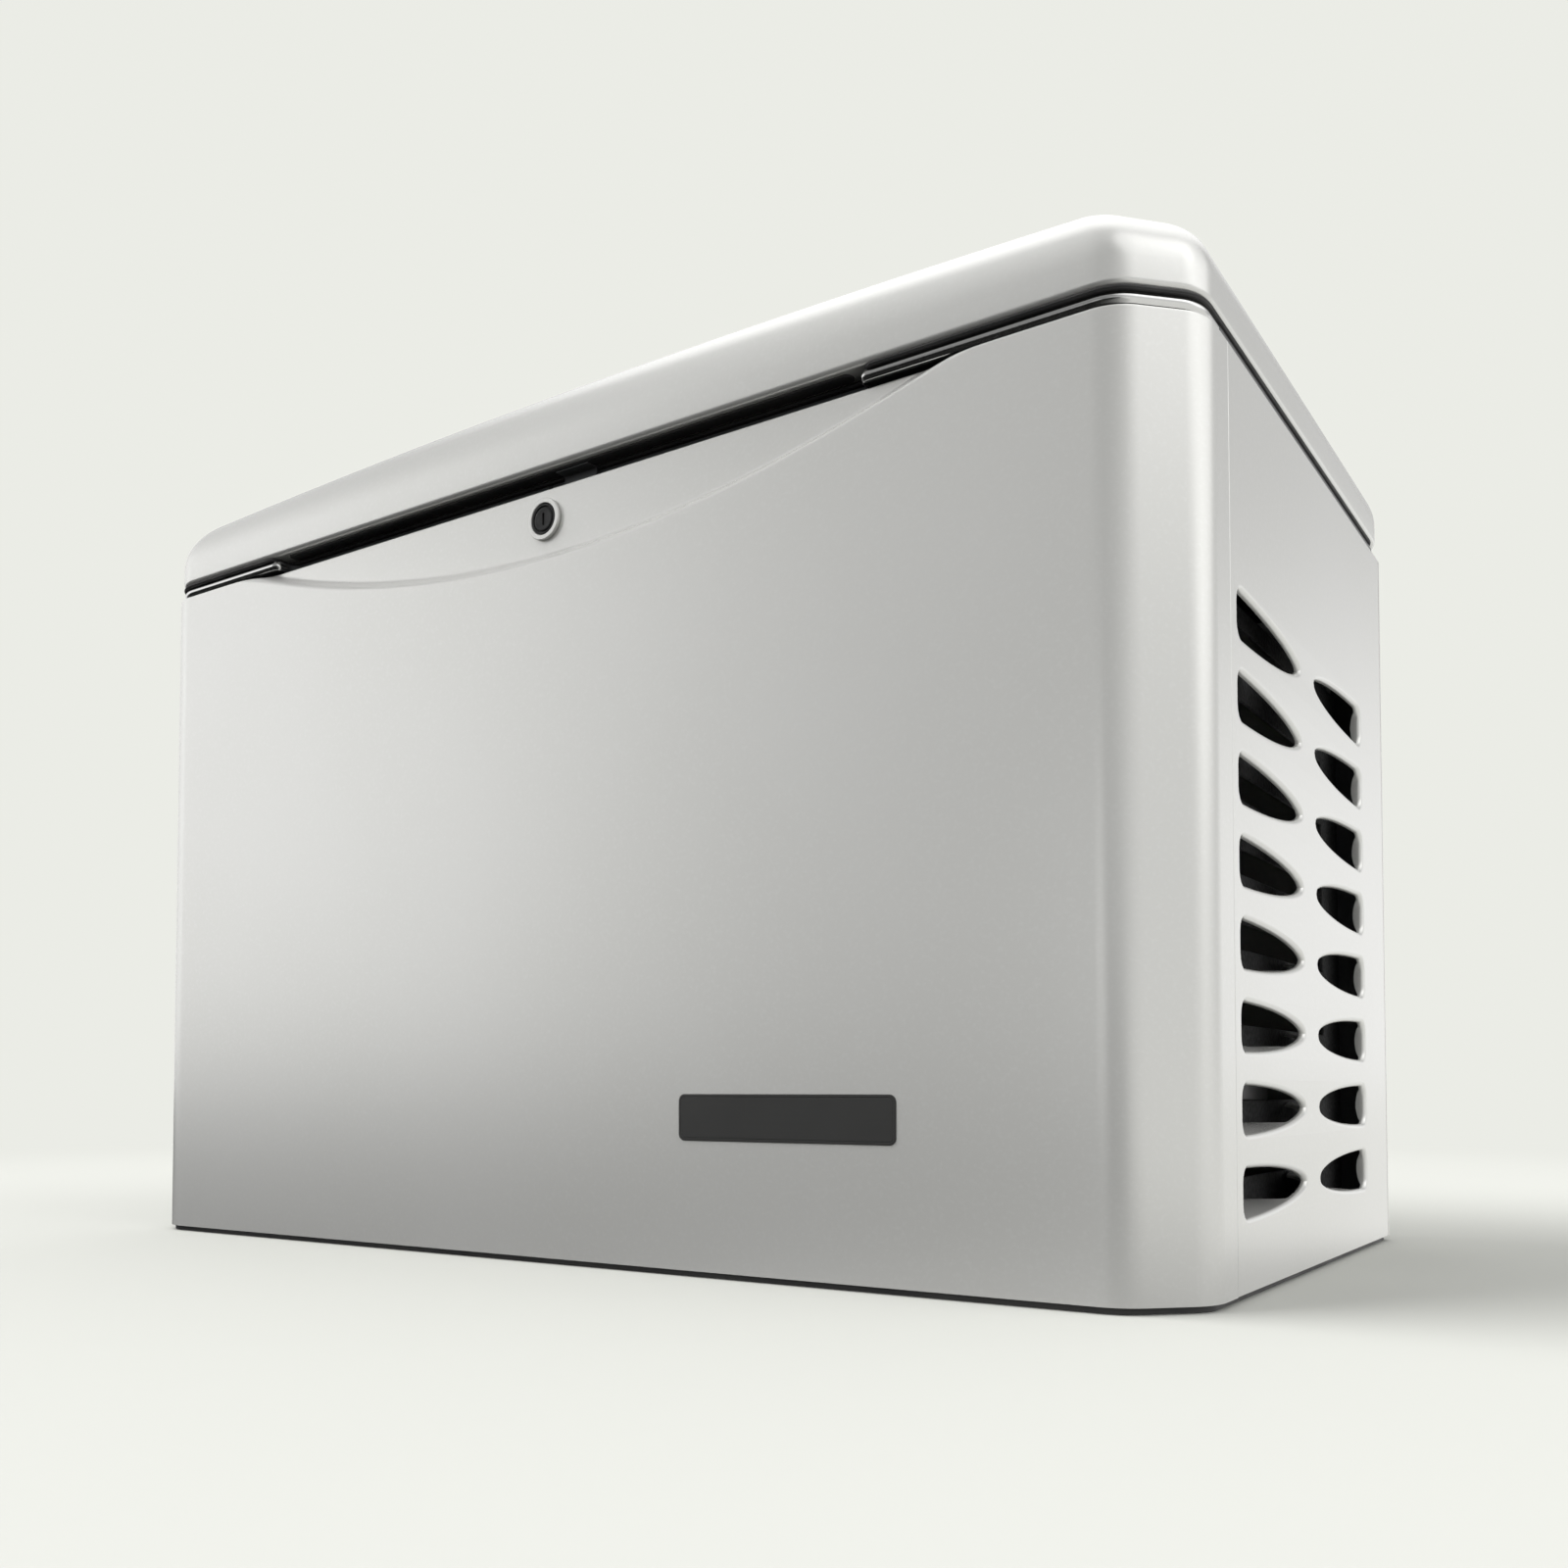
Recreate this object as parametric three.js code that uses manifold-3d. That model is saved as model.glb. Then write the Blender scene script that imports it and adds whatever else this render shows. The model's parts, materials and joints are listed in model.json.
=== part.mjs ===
// Home standby generator: a weatherproof enclosure with a hinged lid, round an air-cooled
// V-twin engine that drives an alternator. Millimetres, +Z up. The origin is on the ground
// under the middle of the enclosure; the front faces -Y and the louvred ends face +X and -X.
import * as THREE from 'three';
import { mergeVertices } from 'three/addons/utils/BufferGeometryUtils.js';
import Module from 'manifold-3d';

const wasm = await Module();
wasm.setup();

// Enclosure
const length = 1240;
const width = 710;
const chamfer = 52;
const fillet = 32;
const sheet = 3;
const panelBottom = 5;
const bodyTop = 730;
const seamReach = 100;
const rearSeam = 290;
const panelGap = 0.3;
const frontY = -width / 2;
const rearY = width / 2;
const sideX = length / 2;

// Base pan
const panInset = 5;
const panWall = 4;
const panFloor = 6;
const panRim = 48;

// Inner frame
const lipInset = 5;
const rearLipInset = 15;
const legInset = 49;
const flangeBottom = 740;
const flangeTop = 743;
const lipBottom = 731.3;
const legBottom = 700;
const notchLeft = -395;
const notchRight = 350;
const notchDepth = 30;

// Lid
const lidInset = 2.5;
const lidBottom = 746.5;
const lidSkirtTop = 768;
const lidThickness = 2.5;
const lidCurve = 72;
const lidRise = 60;
const lidCrown = 18;
const lidDome = 6;
const lidFlangeInset = 50;
const cornerGrowth = 0.35;
const hingeY = 349;
const hingeZ = 738;

// Finger recess and lock in the front panel
const recessHalf = 443;
const recessDrop = 74;
const recessDepth = 12;
const lockZ = 701;
const lockHole = 9.8;

// Blank badge plate, let into the front panel
const badgeLeft = 172;
const badgeRight = 386;
const badgeBottom = 116;
const badgeTop = 156;
const badgeCorner = 6;
const badgeDepth = 1.5;

// Louvres
const louvreRows = 8;
const louvrePitch = 63.8;
const louvreLowest = 80.6;
const louvreHeight = 38;
const louvreLength = 188;
const louvreFrontFlat = frontY + 119;
const louvreRearFlat = frontY + 545;
const baffleX = 583;
const baffleFront = -222;
const baffleRear = 233;

// Drive train: crankshaft, fan and rotor turn on one line along X
const shaftZ = 235;
const shaftRadius = 20;
const runningGap = 0.6;
const caseLeft = -60;
const caseRight = 180;

// Gas strut on the left side, seen along X
const strutX = -550;
const strutFootY = 280;
const strutFootZ = 640;
const strutHeadY = 120;
const strutHeadZ = 764;

const contact = 0.3;

const generator = new THREE.Group();

function paint(color, roughness, metalness) {
  return new THREE.MeshStandardMaterial({ color, roughness, metalness });
}

const looks = {
  panel: paint(0xd6d5cf, 0.38, 0.35),
  base: paint(0x222222, 0.7, 0.1),
  steel: paint(0x8d8f90, 0.45, 0.8),
  galvanised: paint(0x3b3c3d, 0.6, 0.6),
  black: paint(0x141414, 0.5, 0.1),
  rubber: paint(0x101010, 0.9, 0),
  foam: paint(0x2d2e2e, 0.95, 0),
  cast: paint(0x9a9c9e, 0.55, 0.7),
  exhaust: paint(0x77736c, 0.5, 0.85),
  green: paint(0x2f6d4a, 0.6, 0.1),
  red: paint(0xa8221c, 0.5, 0.1),
  glass: paint(0x1b2a2b, 0.1, 0),
  amber: paint(0xc7862a, 0.45, 0.1),
};

// Solids -------------------------------------------------------------------

function solidOf(geometry) {
  const bare = geometry.clone();
  bare.deleteAttribute('normal');
  bare.deleteAttribute('uv');
  const merged = mergeVertices(bare, 1e-4);
  const vertProperties = new Float32Array(merged.attributes.position.array);
  const triVerts = new Uint32Array(merged.index.array);
  return new wasm.Manifold(new wasm.Mesh({ numProp: 3, vertProperties, triVerts }));
}

function geometryOf(solid) {
  const mesh = solid.getMesh();
  const geometry = new THREE.BufferGeometry();
  geometry.setAttribute('position', new THREE.BufferAttribute(new Float32Array(mesh.vertProperties), 3));
  geometry.setIndex(new THREE.BufferAttribute(new Uint32Array(mesh.triVerts), 1));
  const flat = geometry.toNonIndexed();
  flat.computeVertexNormals();
  return flat;
}

function part(name, solid, material, position = [0, 0, 0]) {
  const mesh = new THREE.Mesh(geometryOf(solid), material);
  mesh.name = name;
  mesh.position.set(...position);
  generator.add(mesh);
  return mesh;
}

const join = (first, ...rest) => rest.reduce((whole, piece) => whole.add(piece), first);
const cut = (first, ...rest) => rest.reduce((whole, piece) => whole.subtract(piece), first);

function block(x0, x1, y0, y1, z0, z1) {
  const geometry = new THREE.BoxGeometry(x1 - x0, y1 - y0, z1 - z0);
  geometry.translate((x0 + x1) / 2, (y0 + y1) / 2, (z0 + z1) / 2);
  return solidOf(geometry);
}

// A cylinder along one axis. centre holds its place on the other two axes, in X, Y, Z order.
function rod(axis, radius, from, to, centre = [0, 0], sides = 20) {
  const geometry = new THREE.CylinderGeometry(radius, radius, to - from, sides);
  const middle = (from + to) / 2;
  if (axis === 'x') {
    geometry.rotateZ(-Math.PI / 2);
    geometry.translate(middle, centre[0], centre[1]);
  } else if (axis === 'y') {
    geometry.translate(centre[0], middle, centre[1]);
  } else {
    geometry.rotateX(Math.PI / 2);
    geometry.translate(centre[0], centre[1], middle);
  }
  return solidOf(geometry);
}

// A round solid from a profile of [radius, height] points, turned about X, Y or Z.
function turned(axis, profile, centre = [0, 0], sides = 20) {
  const points = profile.map(([radius, height]) => new THREE.Vector2(radius, height));
  const geometry = new THREE.LatheGeometry(points, sides);
  if (axis === 'x') {
    geometry.rotateZ(-Math.PI / 2);
    geometry.translate(0, centre[0], centre[1]);
  } else if (axis === 'y') {
    geometry.translate(centre[0], 0, centre[1]);
  } else {
    geometry.rotateX(Math.PI / 2);
    geometry.translate(centre[0], centre[1], 0);
  }
  return solidOf(geometry);
}

// An outline pulled along one axis. Its points are [x, y] for Z, [x, z] for Y, [y, z] for X.
function prism(axis, points, from, to) {
  const shape = new THREE.Shape(points.map(([u, v]) => new THREE.Vector2(u, v)));
  const geometry = new THREE.ExtrudeGeometry(shape, { depth: to - from, bevelEnabled: false });
  const turn = new THREE.Matrix4();
  if (axis === 'x') {
    turn.set(0, 0, 1, from, 1, 0, 0, 0, 0, 1, 0, 0, 0, 0, 0, 1);
  } else if (axis === 'y') {
    turn.set(1, 0, 0, 0, 0, 0, -1, to, 0, 1, 0, 0, 0, 0, 0, 1);
  } else {
    turn.makeTranslation(0, 0, from);
  }
  geometry.applyMatrix4(turn);
  return solidOf(geometry);
}

// A tube or hose along a smooth curve through points.
function hose(points, radius, steps, sides = 10) {
  const curve = new THREE.CatmullRomCurve3(points.map((point) => new THREE.Vector3(...point)));
  const ring = new THREE.Shape();
  for (let side = 0; side < sides; side += 1) {
    const angle = (side / sides) * 2 * Math.PI;
    const place = [radius * Math.cos(angle), radius * Math.sin(angle)];
    if (side === 0) ring.moveTo(...place);
    else ring.lineTo(...place);
  }
  return solidOf(new THREE.ExtrudeGeometry(ring, { steps, extrudePath: curve }));
}

// Outlines -----------------------------------------------------------------

// Rounds every corner of a polygon of [x, y] points.
function softened(corners, radius, steps) {
  const rounded = [];
  corners.forEach((corner, index) => {
    const here = new THREE.Vector2(...corner);
    const before = new THREE.Vector2(...corners[(index + corners.length - 1) % corners.length]);
    const after = new THREE.Vector2(...corners[(index + 1) % corners.length]);
    const arriving = here.clone().sub(before).normalize();
    const leaving = after.clone().sub(here).normalize();
    const turning = Math.acos(THREE.MathUtils.clamp(arriving.dot(leaving), -1, 1));
    const reach = radius * Math.tan(turning / 2);
    const start = here.clone().addScaledVector(arriving, -reach);
    const end = here.clone().addScaledVector(leaving, reach);
    const bend = new THREE.QuadraticBezierCurve(start, here, end);
    bend.getPoints(steps).forEach((point) => rounded.push([point.x, point.y]));
  });
  return rounded;
}

// The enclosure's plan, moved in by inset: a rectangle with soft chamfered corners.
function plan(inset, rearInset = inset, grow = 0) {
  const half = sideX - inset;
  const front = frontY + inset;
  const rear = rearY - rearInset;
  const setback = Math.max(chamfer - inset * (2 - Math.SQRT2), 10) + grow * inset;
  const radius = Math.max(fillet - inset, 4) + 1.6 * grow * inset;
  const corners = [
    [half - setback, front],
    [half, front + setback],
    [half, rear - setback],
    [half - setback, rear],
    [-half + setback, rear],
    [-half, rear - setback],
    [-half, front + setback],
    [-half + setback, front],
  ];
  return softened(corners, radius, 3);
}

// An upright sheet that follows the plan all the way round.
function wall(inset, z0, z1, rearInset = inset) {
  const outside = prism('z', plan(inset, rearInset), z0, z1);
  const inside = prism('z', plan(inset + sheet, rearInset + sheet), z0 - 1, z1 + 1);
  return cut(outside, inside);
}

// The finger recess: an arc that hangs from the top edge of the front panel.
function recess(grow) {
  const half = recessHalf + grow;
  const arc = [];
  const steps = 16;
  for (let step = 0; step <= steps; step += 1) {
    const along = -1 + (2 * step) / steps;
    arc.push([half * along, bodyTop - (recessDrop + grow) * (1 - along * along)]);
  }
  arc.push([half, bodyTop + 2]);
  arc.push([-half, bodyTop + 2]);
  return arc;
}

// One leaf-shaped louvre opening as [y, z] points: a flat end, and two edges that meet in a tip.
function leaf(flatY, tipY, middleZ) {
  const stops = [0, 0.3, 0.55, 0.75, 0.9, 0.975];
  const edge = (side) => stops.map((along) => [
    flatY + (tipY - flatY) * along,
    middleZ + side * (louvreHeight / 2) * (1 - along * along) ** 0.62,
  ]);
  return [...edge(-1), [tipY, middleZ], ...edge(1).reverse()];
}

// Enclosure ----------------------------------------------------------------

function basePan() {
  const tray = cut(
    prism('z', plan(panInset), 0, panRim),
    prism('z', plan(panInset + panWall), panFloor, panRim + 1),
  );
  part('base_pan', tray, looks.base);
}

function frontPanel() {
  const skin = wall(0, panelBottom, bodyTop).intersect(
    block(-sideX - 1, sideX + 1, frontY - 1, frontY + seamReach - panelGap, 0, bodyTop),
  );
  const floorY = frontY + recessDepth;
  const cup = prism('y', recess(sheet), frontY + 1, floorY + sheet).intersect(
    block(-sideX, sideX, frontY, 0, 0, bodyTop),
  );
  const badge = (grow, back) => {
    const left = badgeLeft - grow;
    const right = badgeRight + grow;
    const low = badgeBottom - grow;
    const high = badgeTop + grow;
    const outline = softened([[left, low], [right, low], [right, high], [left, high]], badgeCorner + grow, 2);
    return prism('y', outline, frontY - grow, back);
  };
  const panel = cut(
    join(skin, cup),
    prism('y', recess(0), frontY - 1, floorY),
    rod('y', lockHole, floorY - 1, floorY + sheet + 1, [0, lockZ]),
    badge(contact, frontY + badgeDepth + contact),
  );
  part('front_panel', panel, looks.panel);
  part('badge_plate', badge(0, frontY + badgeDepth), looks.black);
}

function sidePanel(name, side) {
  const outer = side * sideX;
  const inner = side * (sideX - sheet);
  const low = Math.min(outer, inner);
  const high = Math.max(outer, inner);
  let panel = block(low, high, frontY + seamReach + panelGap, rearSeam - panelGap, panelBottom, bodyTop);
  for (let row = 0; row < louvreRows; row += 1) {
    const middleZ = louvreLowest + row * louvrePitch;
    const front = leaf(louvreFrontFlat, louvreFrontFlat + louvreLength, middleZ);
    const rear = leaf(louvreRearFlat, louvreRearFlat - louvreLength, middleZ).reverse();
    panel = cut(panel, prism('x', front, low - 1, high + 1), prism('x', rear, low - 1, high + 1));
  }
  part(name, panel, looks.panel);
}

// A foam-faced plate behind the louvres: its slots sit higher than the openings, to turn rain away.
function louvreBaffle(name, side) {
  const slotRise = 25;
  const slotHeight = 22;
  const slotFront = -190;
  const slotRear = 165;
  const margin = 24;
  const near = side > 0 ? baffleX : -baffleX - sheet;
  const low = louvreLowest - louvreHeight / 2;
  const high = low + louvreRows * louvrePitch;
  let plate = block(near, near + sheet, baffleFront, baffleRear, low - margin, high);
  for (let row = 0; row < louvreRows; row += 1) {
    const z = low + row * louvrePitch + slotRise;
    plate = cut(plate, block(near - 1, near + sheet + 1, slotFront, slotRear, z, z + slotHeight));
  }
  part(name, plate, looks.foam);
}

function rearPanel() {
  const panel = wall(0, panelBottom, bodyTop).intersect(
    block(-sideX - 1, sideX + 1, rearSeam + panelGap, rearY + 1, 0, bodyTop),
  );
  part('rear_panel', panel, looks.panel);
}

// Four corner posts under a channel ring. The ring's front is notched to leave a finger gap.
function innerFrame() {
  const weldTop = flangeBottom + 0.5;
  const notch = block(notchLeft, notchRight, frontY - 1, frontY + notchDepth, lipBottom - 1, flangeTop + 1);
  const flange = cut(
    prism('z', plan(lipInset, rearLipInset), flangeBottom, flangeTop),
    prism('z', plan(legInset + sheet), flangeBottom - 1, flangeTop + 1),
    notch,
  );
  const lip = cut(wall(lipInset, lipBottom, weldTop, rearLipInset), notch);
  const backY = frontY + notchDepth;
  const pocket = join(
    block(notchLeft - sheet, notchRight + sheet, backY, backY + sheet, lipBottom, weldTop),
    block(notchLeft - sheet, notchLeft, frontY + lipInset, backY + 1, lipBottom, weldTop),
    block(notchRight, notchRight + sheet, frontY + lipInset, backY + 1, lipBottom, weldTop),
  );
  let frame = join(flange, lip, pocket, wall(legInset, legBottom, weldTop));
  const outerX = sideX - 11;
  const innerX = 570;
  const postY = 288;
  const postFlange = 237;
  for (const sideways of [-1, 1]) {
    for (const along of [-1, 1]) {
      const corner = (x0, x1, y0, y1) => block(
        Math.min(sideways * x0, sideways * x1),
        Math.max(sideways * x0, sideways * x1),
        Math.min(along * y0, along * y1),
        Math.max(along * y0, along * y1),
        panFloor + contact,
        weldTop,
      );
      const sideLeg = corner(outerX - sheet, outerX, postFlange, postY);
      const endLeg = corner(innerX, outerX, postY - sheet, postY);
      frame = join(frame, sideLeg, endLeg);
    }
  }
  part('inner_frame', frame, looks.galvanised);
}

// A rubber ring on the frame's flange. It steps back behind the finger gap.
function lidSeal() {
  const z0 = flangeTop + contact;
  const z1 = lidBottom - contact;
  const outer = 10;
  const inner = 22;
  const rearOuter = 24;
  const strip = inner - outer;
  const step = 24;
  const left = notchLeft;
  const right = notchRight;
  const outside = cut(
    prism('z', plan(outer, rearOuter), z0, z1),
    block(left, right, frontY, frontY + outer + step, z0 - 1, z1 + 1),
  );
  const inside = cut(
    prism('z', plan(inner, rearOuter + strip), z0 - 1, z1 + 1),
    block(left - strip, right + strip, frontY, frontY + inner + step, z0 - 2, z1 + 2),
  );
  part('lid_seal', cut(outside, inside), looks.rubber);
}

basePan();
frontPanel();
sidePanel('right_side_panel', 1);
sidePanel('left_side_panel', -1);
rearPanel();
louvreBaffle('right_louvre_baffle', 1);
louvreBaffle('left_louvre_baffle', -1);
innerFrame();
lidSeal();

// Lid ----------------------------------------------------------------------

// A closed skin through rings of points, ended at both poles by a fan.
function loft(firstPole, rings, lastPole) {
  const count = rings[0].length;
  const positions = [firstPole, ...rings.flat(), lastPole].flatMap((point) => [point.x, point.y, point.z]);
  const at = (ring, index) => 1 + ring * count + (index % count);
  const last = positions.length / 3 - 1;
  const faces = [];
  for (let index = 0; index < count; index += 1) {
    faces.push(0, at(0, index), at(0, index + 1));
    for (let ring = 0; ring < rings.length - 1; ring += 1) {
      faces.push(at(ring, index), at(ring + 1, index), at(ring + 1, index + 1));
      faces.push(at(ring, index), at(ring + 1, index + 1), at(ring, index + 1));
    }
    faces.push(last, at(rings.length - 1, index + 1), at(rings.length - 1, index));
  }
  const geometry = new THREE.BufferGeometry();
  geometry.setAttribute('position', new THREE.BufferAttribute(new Float32Array(positions), 3));
  geometry.setIndex(faces);
  return solidOf(geometry);
}

// The lid's skin at one stage of its curve: turn goes from 0 at the skirt to a quarter turn on top.
function lidCurveRing(turn, thickness) {
  const inset = lidInset + lidCurve - (lidCurve - thickness) * Math.cos(turn);
  return plan(inset, inset, cornerGrowth).map(([x, y]) => {
    const rise = lidRise - thickness + lidCrown * (1 - (x / sideX) ** 2);
    return new THREE.Vector3(x, y, lidSkirtTop + rise * Math.sin(turn));
  });
}

function lidTopRing(inset, thickness) {
  return plan(inset, inset, cornerGrowth).map(([x, y]) => {
    const crown = lidCrown * (1 - (x / sideX) ** 2) + lidDome * (1 - (y / rearY) ** 2);
    return new THREE.Vector3(x, y, lidSkirtTop + lidRise - thickness + crown);
  });
}

function lidFlatRing(inset, z) {
  const grow = inset > lidInset + 4 ? 0 : cornerGrowth;
  return plan(inset, inset, grow).map(([x, y]) => new THREE.Vector3(x, y, z));
}

function lidShell() {
  const quarter = Math.PI / 2;
  const topZ = lidSkirtTop + lidRise + lidCrown + lidDome;
  const inside = lidInset + lidThickness;
  const rings = [
    lidTopRing(230, 0),
    lidTopRing(130, 0),
    ...[0.86, 0.68, 0.5, 0.33, 0.16, 0].map((stage) => lidCurveRing(stage * quarter, 0)),
    lidFlatRing(lidInset, lidBottom + 8),
    lidFlatRing(lidInset + 2.5, lidBottom + 2),
    lidFlatRing(lidInset + 9, lidBottom),
    lidFlatRing(lidFlangeInset, lidBottom),
    lidFlatRing(lidFlangeInset, lidBottom + lidThickness),
    lidFlatRing(inside + 4, lidBottom + lidThickness),
    lidFlatRing(inside, lidBottom + lidThickness + 5),
    ...[0, 0.33, 0.68, 0.86].map((stage) => lidCurveRing(stage * quarter, lidThickness)),
    lidTopRing(150, lidThickness),
  ];
  const shell = loft(new THREE.Vector3(0, 0, topZ), rings, new THREE.Vector3(0, 0, topZ - lidThickness));
  part('lid_shell', shell, looks.panel);
}

// A hooked plate under the lid. Its lip catches on the lock's cam.
function lidKeeper() {
  const plateY = -330;
  const low = 681;
  const left = 12;
  const right = 52;
  const top = lidBottom - contact;
  const keeper = join(
    block(left, right, plateY, plateY + sheet, low, top),
    block(left, right, plateY - 12, plateY + 1, top - 2.5, top),
    block(29, 48, plateY - 6.5, plateY + 1, low, low + sheet),
  );
  part('lid_keeper', keeper, looks.galvanised);
}

// Three knuckles on one pin: the body's leaf has the outer two, the lid's leaf the middle one.
function lidHinge(name, x) {
  const sides = 14;
  const barrel = 5;
  const bore = 3;
  const pinRadius = 2.5;
  const half = 50;
  const middle = 17;
  const knuckle = (from, to) => rod('x', barrel, from, to, [hingeY, hingeZ], sides);
  const hole = rod('x', bore, -half - 1, half + 1, [hingeY, hingeZ], sides);
  const web = (from, to) => block(from, to, 341, hingeY - 1, hingeZ - 4.5, hingeZ - 1.5);
  const bodyLeaf = cut(
    join(
      block(-half, half, 340.5, 342.8, legBottom + 5, hingeZ - 1.5),
      web(-half, -middle - 1),
      web(middle + 1, half),
      knuckle(-half, -middle - 1),
      knuckle(middle + 1, half),
    ),
    hole,
    block(-middle - 1, middle + 1, 342, 360, legBottom, 760),
  );
  const lidLeaf = cut(
    join(
      block(-middle, middle, hingeY - 4, hingeY + 1, hingeZ, lidBottom - 0.4),
      block(-middle, middle, 333, hingeY, flangeTop + 0.7, lidBottom - 0.4),
      knuckle(-middle, middle),
    ),
    hole,
  );
  part(`hinge_body_leaf_${name}`, bodyLeaf, looks.steel, [x, 0, 0]);
  part(`hinge_lid_leaf_${name}`, lidLeaf, looks.steel, [x, 0, 0]);
  const pin = rod('x', pinRadius, -half, half, [hingeY, hingeZ], sides);
  part(`hinge_pin_${name}`, pin, looks.steel, [x, 0, 0]);
}

// The strut is drawn along +Z from its foot and then leaned over towards its stud on the lid.
function gasStrut() {
  const reach = Math.hypot(strutHeadY - strutFootY, strutHeadZ - strutFootZ);
  const lean = Math.atan2(strutFootY - strutHeadY, strutHeadZ - strutFootZ);
  const eyeRadius = 9;
  const stud = 4;
  const eyeBore = 4.6;
  const tubeFrom = 7;
  const tubeTo = 168;
  const boreFrom = 28;
  const bore = 5.4;
  const cylinder = cut(
    join(rod('x', eyeRadius, -5, 5, [0, 0], 16), rod('z', 10, tubeFrom, tubeTo, [0, 0], 16)),
    rod('x', eyeBore, -6, 6, [0, 0], 16),
    rod('z', bore, boreFrom, tubeTo + 1, [0, 0], 16),
  );
  const piston = join(
    rod('z', 4, boreFrom + 6, reach - 2, [0, 0], 12),
    rod('x', 8, -5, 5, [0, reach], 16),
  );
  const place = [strutX, strutFootY, strutFootZ];
  const cylinderMesh = part('strut_cylinder', cylinder, looks.black, place);
  const pistonMesh = part('strut_rod', piston, looks.steel, place);
  cylinderMesh.rotation.x = lean;
  pistonMesh.rotation.x = lean;
  const edge = -570;
  const plate = 14;
  const foot = join(
    block(
      edge + 0.4,
      strutX - 10.6,
      strutFootY - plate,
      strutFootY + plate,
      strutFootZ - plate,
      strutFootZ + plate,
    ),
    rod('x', stud, strutX - 11, strutX + 8, [strutFootY, strutFootZ], 16),
  );
  part('strut_foot', foot, looks.steel);
  const flangeZ = lidBottom + lidThickness + contact;
  const studPlate = join(
    block(edge - 30, strutX - 9, strutHeadY - 16, strutHeadY + 16, flangeZ, flangeZ + 3),
    block(strutX - 12, strutX - 9, strutHeadY - 16, strutHeadY + 16, flangeZ, strutHeadZ + 14),
    rod('x', stud, strutX - 10, strutX - 5.6, [strutHeadY, strutHeadZ], 16),
  );
  part('strut_stud', studPlate, looks.steel);
}

// Lock ---------------------------------------------------------------------

function lock() {
  const floorY = frontY + recessDepth;
  const bezelRadius = 20;
  const bezelBore = 15.2;
  const bezel = cut(
    rod('y', bezelRadius, floorY - 4, floorY - contact, [0, lockZ], 28),
    rod('y', bezelBore, floorY - 5, floorY + 1, [0, lockZ], 28),
  );
  part('lock_bezel', bezel, looks.panel);
  const keyway = block(-1.2, 1.2, floorY - 6, floorY + 2, lockZ - 6, lockZ + 6);
  const barrel = cut(
    join(
      rod('y', 14.6, floorY - 3.4, floorY - contact, [0, lockZ], 24),
      rod('y', 9.2, floorY - 1, floorY + 6, [0, lockZ], 24),
      rod('y', 6, floorY + 5, floorY + 9.6, [0, lockZ], 24),
    ),
    keyway,
  );
  part('lock_barrel', barrel, looks.black);
  const cam = cut(
    prism('y', softened([[-9, -9], [9, -9], [5.5, 29], [-5.5, 29]], 4, 2), 6.6, 9.1),
    rod('y', 6.3, 6, 10, [0, 0], 24),
  );
  part('lock_cam', cam, looks.steel, [0, floorY, lockZ]);
}

// Engine -------------------------------------------------------------------

function crankcase() {
  const half = 130;
  const section = [
    [-105, 110],
    [105, 110],
    [half, 140],
    [half, 255],
    [55, 330],
    [-55, 330],
    [-half, 255],
    [-half, 140],
  ];
  const fillerPlace = [158, -148];
  const footTop = 116;
  const footBottom = 60.4;
  const body = cut(
    join(
      prism('x', section, caseLeft, caseRight),
      block(110, 150, -140, -100, footBottom, footTop),
      block(110, 150, 100, 140, footBottom, footTop),
      rod('z', 13, 170, 330, fillerPlace, 16),
      block(140, 176, -155, -120, 170, 200),
    ),
    rod('x', shaftRadius + runningGap, caseLeft - 1, caseRight + 1, [0, shaftZ]),
    rod('z', 9, 190, 331, fillerPlace, 16),
  );
  part('crankcase', body, looks.cast);
  part('crankshaft', rod('x', shaftRadius - 1, caseLeft - 6, 194.7, [0, shaftZ]), looks.steel);
  const stick = join(
    rod('z', 15, 330.4, 346, fillerPlace, 16),
    rod('z', 3, 200, 331, fillerPlace, 8),
  );
  part('dipstick', stick, looks.amber);
}

// One finned barrel with its head cover and plug, leaning 45 degrees to the side it is named for.
function cylinder(name, side, x) {
  const base = 50;
  const finRadius = 62;
  const fins = 5;
  const pitch = 18;
  const barrelTop = fins * pitch + 8;
  const deckY = 92.5;
  const deckZ = 292.5;
  const profile = [[0, contact], [base, contact]];
  for (let fin = 0; fin < fins; fin += 1) {
    const z = 9 + fin * pitch;
    profile.push([base, z], [finRadius, z], [finRadius, z + 7], [base, z + 7]);
  }
  profile.push([base, barrelTop], [0, barrelTop]);
  const barrel = turned('z', profile, [0, 0], 15);
  const headOutline = softened([[-58, -56], [58, -56], [58, 56], [-58, 56]], 14, 2);
  const coverOutline = softened([[-50, -44], [50, -44], [50, 44], [-50, 44]], 14, 2);
  const cover = join(
    prism('z', headOutline, barrelTop + contact, barrelTop + 26),
    prism('z', coverOutline, barrelTop + 25, barrelTop + 46),
  );
  const plugProfile = [[0, 58.4], [9, 58.4], [9, 66], [5, 68], [5, 84], [3, 86], [3, 92], [0, 92]];
  const plug = turned('x', plugProfile, [0, barrelTop + 12], 8);
  const pieces = [
    [`cylinder_${name}`, barrel, looks.cast],
    [`valve_cover_${name}`, cover, looks.black],
    [`spark_plug_${name}`, plug, looks.steel],
  ];
  for (const [pieceName, solid, look] of pieces) {
    const mesh = part(pieceName, solid, look, [x, side * deckY, deckZ]);
    mesh.rotation.x = -side * Math.PI / 4;
  }
}

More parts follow.
